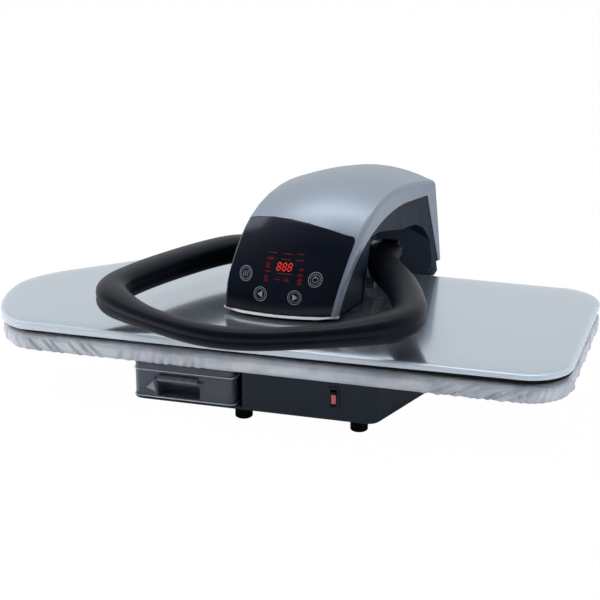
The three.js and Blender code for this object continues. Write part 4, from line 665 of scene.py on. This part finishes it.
def fold_depth(i, height):
    """Gathers of the skirt: each crease is a bulge beside a dip that slants down the skirt."""
    along = perimeter * i / len(outline)
    depth = 0.0
    for centre, width, slant, size in CREASES:
        share = (along - centre - slant * (height - SLANT_FROM)) / width
        if abs(share) < CREASE_REACH:
            depth += size * CREASE_PEAK * share * math.exp(-share * share)
    return depth


print("creases", len(CREASES), "depths", [round(fold_depth(i, 74), 2) for i in (10, 200, 1040)])

# %% [markdown]
# The plate's cover is pressed from one sheet. Its lip runs up into a rounded shoulder that is broad
# at the square end and tight at the nose. The flat top is drawn in along straight spokes that end
# in the steam pipe's hole, and a modifier gives the sheet its thickness.

# %% Plate skin
STEAM_HOLE, HOLE_RADIUS, HOLE_WELD, SKIN = (22.0, 160.0), 4.0, 0.4, 1.2
LIP_DROP, LIP_BELOW, LIP_SPAN, SHOULDER_SPAN = 2.4, 101, (-40, 300), (-60, 290)
SPOKE_SHARES = (0.35, 0.7, 1.0)


def shoulder(i, height):
    """How far the rounded shoulder widens: fully at the square end, not at all at the nose."""
    return eased(outline[i].x, *SHOULDER_SPAN)


SKIN_STATIONS = [
    (0.0, 99.4, 0.0), (0.0, 100.4, 0.0), (0.0, 102.2, 0.0), (0.3, 103.4, -0.2), (1.0, 104.3, -0.9),
    (2.4, 104.95, -2.6), (4.6, 105.35, -5.0), (8.0, 105.65, -8.5), (12.0, 105.86, -12.5),
    (16.0, 105.96, -15.0), (21.0, 106.0, -16.5), (22.0, 106.0, -16.5)]
HOLE_AT = from_plate(*STEAM_HOLE, 0).to_2d()


def spoke_ring(edge_ring, share):
    """A flat ring on the straight spokes that run from the shoulder's last ring to the hole."""
    made = []
    for place in edge_ring:
        spoke = Vector((place.x, place.y)) - HOLE_AT
        length = HOLE_RADIUS * MM * share + spoke.length * (1 - share)
        made.append(Vector((*(HOLE_AT + spoke.normalized() * length), place.z)))
    return made


skin_rings = [ring_at(d, z, f, pattern=shoulder) for d, z, f in SKIN_STATIONS]
skin_rings += [spoke_ring(skin_rings[-1], share) for share in SPOKE_SHARES]
skin_mesh, hole_line = loft(skin_rings)
bmesh.ops.remove_doubles(
    skin_mesh, verts=[edge.verts[0] for edge in hole_line], dist=HOLE_WELD * MM)
for vert in skin_mesh.verts:
    if vert.co.z < LIP_BELOW * MM:
        vert.co.z -= LIP_DROP * MM * (1 - eased(vert.co.x / MM, *LIP_SPAN))
plate_skin = keep(skin_mesh, "plate_skin", "head", plate_lacquer, 60)
sheet_metal = plate_skin.modifiers.new("sheet_thickness", "SOLIDIFY")
sheet_metal.thickness = SKIN * MM
sheet_metal.offset = -1
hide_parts("plate_cover")
print("plate skin", len(plate_skin.data.vertices))

# %% [markdown]
# The foam pad is a closed body with a slightly crowned top. Each station gives how far it is drawn
# in, its height, and its size as a share of the outline. Both ends are filled.

# %% Foam pad
PAD = [
    (9.0, 77.2, 1.0), (6.4, 79.2, 1.0), (5.6, 84.0, 1.0), (4.6, 86.4, 1.0), (7.4, 88.6, 1.0),
    (12.5, 90.4, 1.0), (13.0, 91.0, 0.8), (13.0, 91.4, 0.5), (13.0, 91.5, 0.2)]
pad_mesh = closed_loft(
    [ring_at(13, 76.9, share=0.3)] + [ring_at(d, z, share=s) for d, z, s in PAD])
foam_pad = keep(pad_mesh, "foam_pad", "base", pad_foam, 60)
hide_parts("board_pad")
print("foam pad", len(foam_pad.data.vertices))

# %% [markdown]
# The cloth lies over the foam and turns in under the tray. Its stations also tell how much of the
# folds shows at each height. Its nose is a little shorter than the plate's, and it stays open below.

# %% Cloth cover
CLOTH_THICK, NOSE_SHORT, NOSE_SPAN, TOP_ABOVE = 0.6, 3.4, (-320, -200), 85
CLOTH = [
    (13.5, 93.25, 0.0, 0.2), (13.5, 93.2, 0.0, 0.5), (13.5, 93.0, 0.0, 0.8), (12.5, 92.7, 0.0, 1.0),
    (8.0, 92.0, 0.05, 1.0), (4.2, 90.8, 0.15, 1.0), (1.6, 89.2, 0.35, 1.0), (0.5, 87.4, 0.6, 1.0),
    (0.2, 85.4, 0.85, 1.0), (0.1, 83.4, 1.0, 1.0), (0.1, 81.4, 1.15, 1.0), (0.3, 79.4, 1.3, 1.0),
    (0.8, 77.4, 1.45, 1.0), (1.7, 75.4, 1.45, 1.0), (3.1, 73.8, 1.25, 1.0), (5.4, 72.9, 0.8, 1.0),
    (8.0, 72.8, 0.5, 1.0)]
cloth_mesh, _ = loft([ring_at(d, z, f, s, fold_depth) for d, z, f, s in CLOTH])
hem_edges = [e for e in cloth_mesh.edges if e.is_boundary]
top_edges = [e for e in hem_edges if e.verts[0].co.z > TOP_ABOVE * MM]
bmesh.ops.contextual_create(cloth_mesh, geom=top_edges)
for vert in cloth_mesh.verts:
    vert.co.x += NOSE_SHORT * MM * (1 - eased(vert.co.x / MM, *NOSE_SPAN))
cloth_area = sum(face.calc_area() for face in cloth_mesh.faces)
fitted_cloth = keep(cloth_mesh, "fitted_cloth_cover", "base", cover_cloth, 75)
thickness = fitted_cloth.modifiers.new("cloth_thickness", "SOLIDIFY")
thickness.thickness = CLOTH_THICK * MM
thickness.offset = -1
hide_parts("board_cover")
print("cloth", round(cloth_area, 4), "square metres")

# %% [markdown]
# The touch panel has four ring-shaped keys, a three-digit display and small dim marks round it.
# They are printed or lit under the clear sheet, so each is a very thin piece that lies on the
# panel. It is drawn flat, then every point is carried straight back onto the curved panel.

# %% Panel marks
INK_LIFT, DIM_LIFT, PANEL_AHEAD = 0.12, 0.1, -0.3
panel = bpy.data.objects["glossy_fascia"]
panel_tree = BVHTree.FromObject(panel, bpy.context.evaluated_depsgraph_get())


def onto_panel(mesh, lift_mm):
    """Carries each point of a flat drawing back onto the panel, a little proud of it."""
    for vert in mesh.verts:
        start = Vector((vert.co.x, PANEL_AHEAD, vert.co.z))
        hit = panel_tree.ray_cast(start, Vector((0, 1, 0)))[0]
        if hit is not None:
            vert.co = hit - Vector((0, lift_mm * MM, 0))


def flat_ring(mesh, x, z, radius, width, segments=40):
    """A flat ring in the panel's plane."""
    place = Matrix.Translation(Vector((x, 0, z)) * MM) @ turned(90, "X")
    edges = []
    for r in (radius, radius - width):
        circle = bmesh.ops.create_circle(mesh, segments=segments, radius=r * MM, matrix=place)
        edges += list(dict.fromkeys(e for v in circle["verts"] for e in v.link_edges))
    bmesh.ops.bridge_loops(mesh, edges=edges)


def flat_bar(mesh, x, z, length, height, turn=0.0, cuts=3, rows=1):
    """A flat bar in the panel's plane, turned by degrees."""
    place = (Matrix.Translation(Vector((x, 0, z)) * MM) @ turned(turn, "Y") @ turned(90, "X")
             @ Matrix.Diagonal((length * MM, height * MM, 1, 1)))
    bmesh.ops.create_grid(mesh, x_segments=cuts, y_segments=rows, size=0.5, matrix=place)


def flat_arrow(mesh, x, z, size, way):
    """A flat triangle that points left or right, in bars that follow the panel's curve."""
    rows = 9
    for k in range(rows):
        across = (k + 0.5) / rows
        flat_bar(mesh, x + way * size * (across - 0.4) * 1.6, z, size * 1.6 / rows,
                 size * 2.0 * (1 - across), rows=6)


ink = bmesh.new()
KEYS = {"steam": (-40.3, 150.6), "power": (37.3, 151.0), "back": (-20.9, 132.7), "next": (17.2, 132.3)}
for x, z in KEYS.values():
    flat_ring(ink, x, z, 7.4, 0.55)
    flat_ring(ink, x, z, 5.4, 0.35)
for name, way in (("back", -1), ("next", 1)):
    x, z = KEYS[name]
    flat_arrow(ink, x, z, 3.4, way)
x, z = KEYS["power"]
flat_ring(ink, x, z, 3.0, 0.5, 24)
flat_bar(ink, x, z + 2.6, 0.6, 3.0)
x, z = KEYS["steam"]
for k in (-1, 0, 1):
    for j in range(2):
        flat_bar(ink, x + k * 2.2 + (0.3 if j else -0.3), z - 1.4 + j * 2.8, 0.5, 2.8, 18 if j else -18)
onto_panel(ink, INK_LIFT)
key_marks = keep(ink, "touch_key_marks", "head", mark_ink, 60, corrected=False)
print("key marks", len(key_marks.data.polygons))

# %% [markdown]
# The display shows three leaning digits with all seven segments lit. Round them stand small dim
# marks in rows, some of one dash and some of several.

# %% Display digits
SEGMENT_THICK, DASH_PITCH = 0.55, 1.3
DIGIT_X, DIGIT_Z, DIGIT_HIGH, DIGIT_WIDE, DIGIT_PITCH, LEAN = 2.6, 161.3, 7.0, 3.6, 6.1, 0.16
lit = bmesh.new()
for k in (-1, 0, 1):
    for row in (-1, 0, 1):
        z = DIGIT_Z + row * DIGIT_HIGH / 2
        flat_bar(lit, DIGIT_X + k * DIGIT_PITCH + (z - DIGIT_Z) * LEAN, z, DIGIT_WIDE * 0.66, 0.62)
    for row in (-1, 1):
        for side in (-1, 1):
            z = DIGIT_Z + row * DIGIT_HIGH / 4
            flat_bar(lit, DIGIT_X + k * DIGIT_PITCH + side * DIGIT_WIDE / 2 + (z - DIGIT_Z) * LEAN, z,
                     SEGMENT_THICK, DIGIT_HIGH * 0.34, math.degrees(LEAN), rows=3)
onto_panel(lit, INK_LIFT)
display_digits = keep(lit, "display_digits", "head", lit_digit, 60, corrected=False)
dim = bmesh.new()
DIM_MARKS = [
    (-13.2, 173.0, 9.5, 1), (3.9, 173.1, 10.5, 1), (18.0, 173.7, 7.5, 1), (-14.2, 167.8, 8.5, 2),
    (2.8, 168.0, 11.0, 1), (18.1, 168.1, 8.0, 1), (-16.2, 161.2, 5.0, 4), (21.4, 160.0, 5.0, 2),
    (-15.5, 155.7, 8.0, 1), (4.4, 154.8, 17.0, 1), (20.7, 154.6, 6.0, 2), (-16.2, 149.0, 4.0, 5),
    (-3.7, 148.9, 6.0, 1), (6.7, 149.2, 6.0, 3), (20.9, 148.2, 5.5, 5)]
for x, z, length, lines in DIM_MARKS:
    for k in range(lines):
        flat_bar(dim, x, z + (k - (lines - 1) / 2) * DASH_PITCH,
                 length * (0.8 + 0.2 * math.cos(2 * k)), 0.5)
onto_panel(dim, DIM_LIFT)
display_marks = keep(dim, "display_marks", "head", dim_mark, 60, corrected=False)
print("digits", len(display_digits.data.polygons), "marks", len(display_marks.data.polygons))

# %% [markdown]
# The rocker switch has a small red lens let into its black key. The tank carries a moulded arrow
# that shows which way it slides in and a lip over its finger recess. Two fine pale beads round its
# walls are painted highlights, for the light that the clear plastic's seams catch. The lens, the lip
# and the arrow are small solids with softened edges.

# %% Small solids
def softened(name, body, finish, place, size, edge, turn=None):
    """A block of a size in millimetres with rounded edges, set at a place."""
    mesh = bmesh.new()
    matrix = Matrix.Translation(from_plate(*place))
    if turn is not None:
        matrix = matrix @ turn
    bmesh.ops.create_cube(mesh, size=1, matrix=matrix @ Matrix.Diagonal((*(Vector(size) * MM), 1)))
    rounded(mesh, edge, 3)
    piece = keep(mesh, name, body, finish, 40)
    return piece


key_low, key_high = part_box("power_rocker")
lens_place = (key_low + key_high) / 2 / MM
rocker_lens = softened("rocker_lens", "rocker", lens_red,
                       (lens_place.x, key_low.y / MM + 2.6 + ROW_SHIFT, lens_place.z),
                       (5.0, 2.4, 10.5), 0.6)
recess_lip = softened("recess_lip", "tank", smoke_edge, (-98.5, 33.6, 44.6),
                      (45.0, 4.4, 6.6), 1.8, turned(-14, "X"))
arrow_mesh = bmesh.new()
bmesh.ops.create_cone(arrow_mesh, cap_ends=True, segments=3, radius1=6.6 * MM, radius2=6.2 * MM,
                      depth=0.8 * MM, matrix=Matrix.Translation(from_plate(-128.5, 35.5, 32.8))
                      @ turned(-14, "Y") @ turned(90, "X") @ turned(90, "Z"))
rounded(arrow_mesh, 0.15, 2)
slide_arrow = keep(arrow_mesh, "tank_slide_arrow", "tank", mark_ink, 40)
print("small solids", rocker_lens.name, recess_lip.name, slide_arrow.name)

# %% [markdown]
# A bead follows the tank's rounded rectangle a little outside its walls. Its pale colour is a painted
# highlight for the light on the tank's seams. Four rings of points give it a blunt section, and
# bridging the open rims closes the loft into a band.

# %% Tank beads
TANK_X, TANK_Y, TANK_ROUND, ROUND_STEPS = (-150.0, -35.0), (36.0, 206.0), 7.0, 8


def tank_bead(name, height, wide, proud):
    """A fine pale raised line round the tank's walls at one height, a painted highlight."""
    corners = [(TANK_X[0], TANK_Y[0], 180), (TANK_X[1], TANK_Y[0], 270),
               (TANK_X[1], TANK_Y[1], 0), (TANK_X[0], TANK_Y[1], 90)]
    rings = []
    for out, rise in ((0.05, -wide / 2), (proud, -wide / 4), (proud, wide / 4), (0.05, wide / 2)):
        ring = []
        for x, y, start in corners:
            cx = x + (TANK_ROUND if x == TANK_X[0] else -TANK_ROUND)
            cy = y + (TANK_ROUND if y == TANK_Y[0] else -TANK_ROUND)
            for k in range(ROUND_STEPS + 1):
                angle = math.radians(start + 90 * k / ROUND_STEPS)
                ring.append(from_plate(cx + (TANK_ROUND + out) * math.cos(angle),
                                       cy + (TANK_ROUND + out) * math.sin(angle), height + rise))
        rings.append(ring)
    mesh, _ = loft(rings)
    rims = [e for e in mesh.edges if e.is_boundary]
    bmesh.ops.bridge_loops(mesh, edges=rims)
    bead = keep(mesh, name, "tank", tank_seam_painted_highlight, 30)
    return bead


painted_highlight_beads = [tank_bead("tank_rim_painted_highlight", 51.4, 0.9, 0.45), tank_bead("tank_foot_painted_highlight", 21.2, 0.8, 0.4)]
print("painted_highlight_beads", [bead.name for bead in painted_highlight_beads])

# %% [markdown]
# The right cheek ends in a short skirt behind the plate's rear edge, which closes the view under
# the handle's root. It is a bent strip: a line of edges drawn on the floor plan, raised in three
# steps and given the moulding's wall.

# %% Cheek skirt
SKIRT_PLAN = [(70.5, 282.0), (86.0, 290.4), (103.0, 299.6), (118.0, 307.6)]
SKIRT_LOW, SKIRT_TOP, SKIRT_WALL, FOOT_TUCK, SKIRT_STEPS = 95.0, 105.8, 2.2, 3.0, 3
skirt_mesh = bmesh.new()
rows = []
for step in range(SKIRT_STEPS + 1):
    share = step / SKIRT_STEPS
    height = SKIRT_LOW + (SKIRT_TOP - SKIRT_LOW) * share
    tucks = [0, 0, 0, FOOT_TUCK * (1 - share) ** 2]
    rows.append([skirt_mesh.verts.new(from_plate(x - tuck, y, height))
                 for (x, y), tuck in zip(SKIRT_PLAN, tucks)])
for low_row, high_row in zip(rows, rows[1:]):
    for a, b, c, d in zip(low_row, low_row[1:], high_row[1:], high_row):
        skirt_mesh.faces.new((a, b, c, d))
bmesh.ops.subdivide_edges(skirt_mesh, edges=skirt_mesh.edges, cuts=1, use_grid_fill=True)
cheek_skirt = keep(skirt_mesh, "cheek_skirt", "head", cheek_abs, 60)
wall = cheek_skirt.modifiers.new("skirt_wall", "SOLIDIFY")
wall.thickness = SKIRT_WALL * MM
wall.offset = 0
print("cheek skirt", len(cheek_skirt.data.polygons))

# %% [markdown]
# Screws hold the floor plate and the hinge tower's cover. Each head is turned from a profile with
# a round driver recess, spun once about its axis, and stands proud of the sheet that it holds.

# %% Screws
SCREW_PROFILE = [(0.0, 1.0), (1.1, 1.0), (1.3, 2.1), (2.2, 2.3), (3.0, 1.7), (3.3, 0.0)]


def screw(name, body, place, way):
    """A pan-head screw at a place in millimetres that faces along a direction."""
    mesh = bmesh.new()
    turn = Vector((0, 0, 1)).rotation_difference(Vector(way)).to_matrix().to_4x4()
    matrix = Matrix.Translation(from_plate(*place)) @ turn
    verts = [mesh.verts.new(Vector((r, 0, z)) * MM) for r, z in SCREW_PROFILE]
    edges = [mesh.edges.new(pair) for pair in zip(verts, verts[1:])]
    bmesh.ops.spin(mesh, geom=verts + edges, cent=(0, 0, 0), axis=(0, 0, 1), steps=24,
                   angle=math.radians(360), use_merge=True)
    bmesh.ops.remove_doubles(mesh, verts=mesh.verts, dist=0.01 * MM)
    bmesh.ops.transform(mesh, matrix=matrix, verts=mesh.verts)
    piece = keep(mesh, name, body, zinc_steel, 35)
    return piece


FLOOR_SCREWS = [(-18, 48), (106, 50), (138, 175), (140, 330), (20, 337), (-152, 330), (-140, 228)]
TOWER_SCREWS = [(7, 80), (37, 80), (7, 112), (37, 112)]
FLOOR_FACE, TOWER_FACE = 16.9, 323.9
screws = [screw(f"floor_screw_{k + 1}", "base", (x, y, FLOOR_FACE), (0, 0, -1))
          for k, (x, y) in enumerate(FLOOR_SCREWS)]
screws += [screw(f"tower_screw_{k + 1}", "base", (x, TOWER_FACE, z), (0, 1, 0))
           for k, (x, z) in enumerate(TOWER_SCREWS)]
print("screws", len(screws))

# %% [markdown]
# The studio is a pale floor that runs into a white world, with soft lamps: a key high at the front
# left, one overhead that the plate mirrors, a small one on the left for the control panel's corner,
# a weak one low beside the plate's nose, one behind for the far edge and one low on the right for
# the upright walls. Camera rays see plain white. Mirrored rays see a studio: a pale backdrop behind
# the press and a dim room in front of it, which keeps the glossy control panel nearly black.

# %% Floor, world and lamps
FLOOR_WHITE = 0.99


def seen_directly(tree):
    """The light path's node, and 1 for rays that the camera sends straight or through the tank."""
    rays = add(tree, "LightPath")
    return rays, add(tree, "Math", {
        0: rays.outputs["Is Camera Ray"], 1: rays.outputs["Is Transmission Ray"]},
        operation="MAXIMUM")


floor_mesh = bmesh.new()
bmesh.ops.create_grid(floor_mesh, x_segments=1, y_segments=1, size=6)
floor_data = bpy.data.meshes.new("studio_floor")
floor_mesh.to_mesh(floor_data)
floor_mesh.free()
floor = bpy.data.objects.new("studio_floor", floor_data)
bpy.context.scene.collection.objects.link(floor)
paper, tree, shader = surface("white_paper_floor", "#F2F2F2", 0.9)
glow = add(tree, "Emission", {"Color": linear("#FFFFFF"), "Strength": 1.0})
rays, seen = seen_directly(tree)
part_white = add(tree, "Math", {0: seen.outputs[0], 1: FLOOR_WHITE}, operation="MULTIPLY")
blend = add(tree, "MixShader", {0: part_white.outputs[0], 1: shader.outputs[0], 2: glow.outputs[0]})
output = [n for n in tree.nodes if n.bl_idname == "ShaderNodeOutputMaterial"][0]
tree.links.new(blend.outputs[0], output.inputs["Surface"])
floor_data.materials.append(paper)

world = bpy.data.worlds.new("white_studio")
bpy.context.scene.world = world
world.use_nodes = True
tree = world.node_tree
tree.nodes.clear()
rays, seen = seen_directly(tree)
way = add(tree, "TexCoord")
parts = add(tree, "SeparateXYZ", {0: way.outputs["Generated"]})
room = add(tree, "ValToRGB", {"Fac": add(tree, "MapRange", {
    "Value": parts.outputs["Y"], "From Min": -1.0, "From Max": 1.0}).outputs["Result"]})
for stop, place, tone in zip(room.color_ramp.elements, (0.3, 0.72), ("#34373C", "#F4F6F8")):
    stop.position, stop.color = place, linear(tone)
lit_world = add(tree, "Background", {"Color": linear("#E8ECF2"), "Strength": 0.42})
mirrored_world = add(tree, "Background", {"Color": room.outputs["Color"], "Strength": 1.0})
seen_world = add(tree, "Background", {"Color": linear("#FFFFFF"), "Strength": 1.0})
lit = add(tree, "MixShader", {
    0: rays.outputs["Is Glossy Ray"], 1: lit_world.outputs[0], 2: mirrored_world.outputs[0]})
choice = add(tree, "MixShader", {0: seen.outputs[0], 1: lit.outputs[0], 2: seen_world.outputs[0]})
add(tree, "OutputWorld", {"Surface": choice.outputs[0]})


LAMP_AIM = Vector((0, 0, 0.12))


def lamp(name, place, size, power, colour="#FFFFFF", mirrored=True):
    """A soft square lamp that faces the middle of the object; glossy surfaces may not show it."""
    data = bpy.data.lights.new(name, "AREA")
    data.shape = "RECTANGLE"
    data.size, data.size_y = size
    data.energy = power
    data.color = linear(colour)[:3]
    made = bpy.data.objects.new(name, data)
    made.location = place
    made.rotation_euler = (Vector(place) - LAMP_AIM).to_track_quat("Z", "Y").to_euler()
    made.visible_glossy = mirrored
    bpy.context.scene.collection.objects.link(made)
    return made


lamp("key_softbox", (-1.1, -1.3, 1.9), (1.4, 1.0), 30, mirrored=False)
lamp("overhead_softbox", (-0.1, 0.5, 2.2), (1.6, 0.5), 16)
lamp("rear_softbox", (0.2, 1.9, 1.6), (2.2, 0.8), 18, mirrored=False)
lamp("right_softbox", (1.85, -0.5, 0.6), (0.9, 1.0), 19, "#EEF2FF", mirrored=False)
lamp("nose_softbox", (-1.0, -0.6, 0.45), (0.5, 0.5), 4, mirrored=False)
lamp("left_softbox", (-1.42, 0.42, 1.75), (0.55, 0.4), 2.4, "#DFE7FF")
bpy.context.scene.view_settings.view_transform = "Standard"
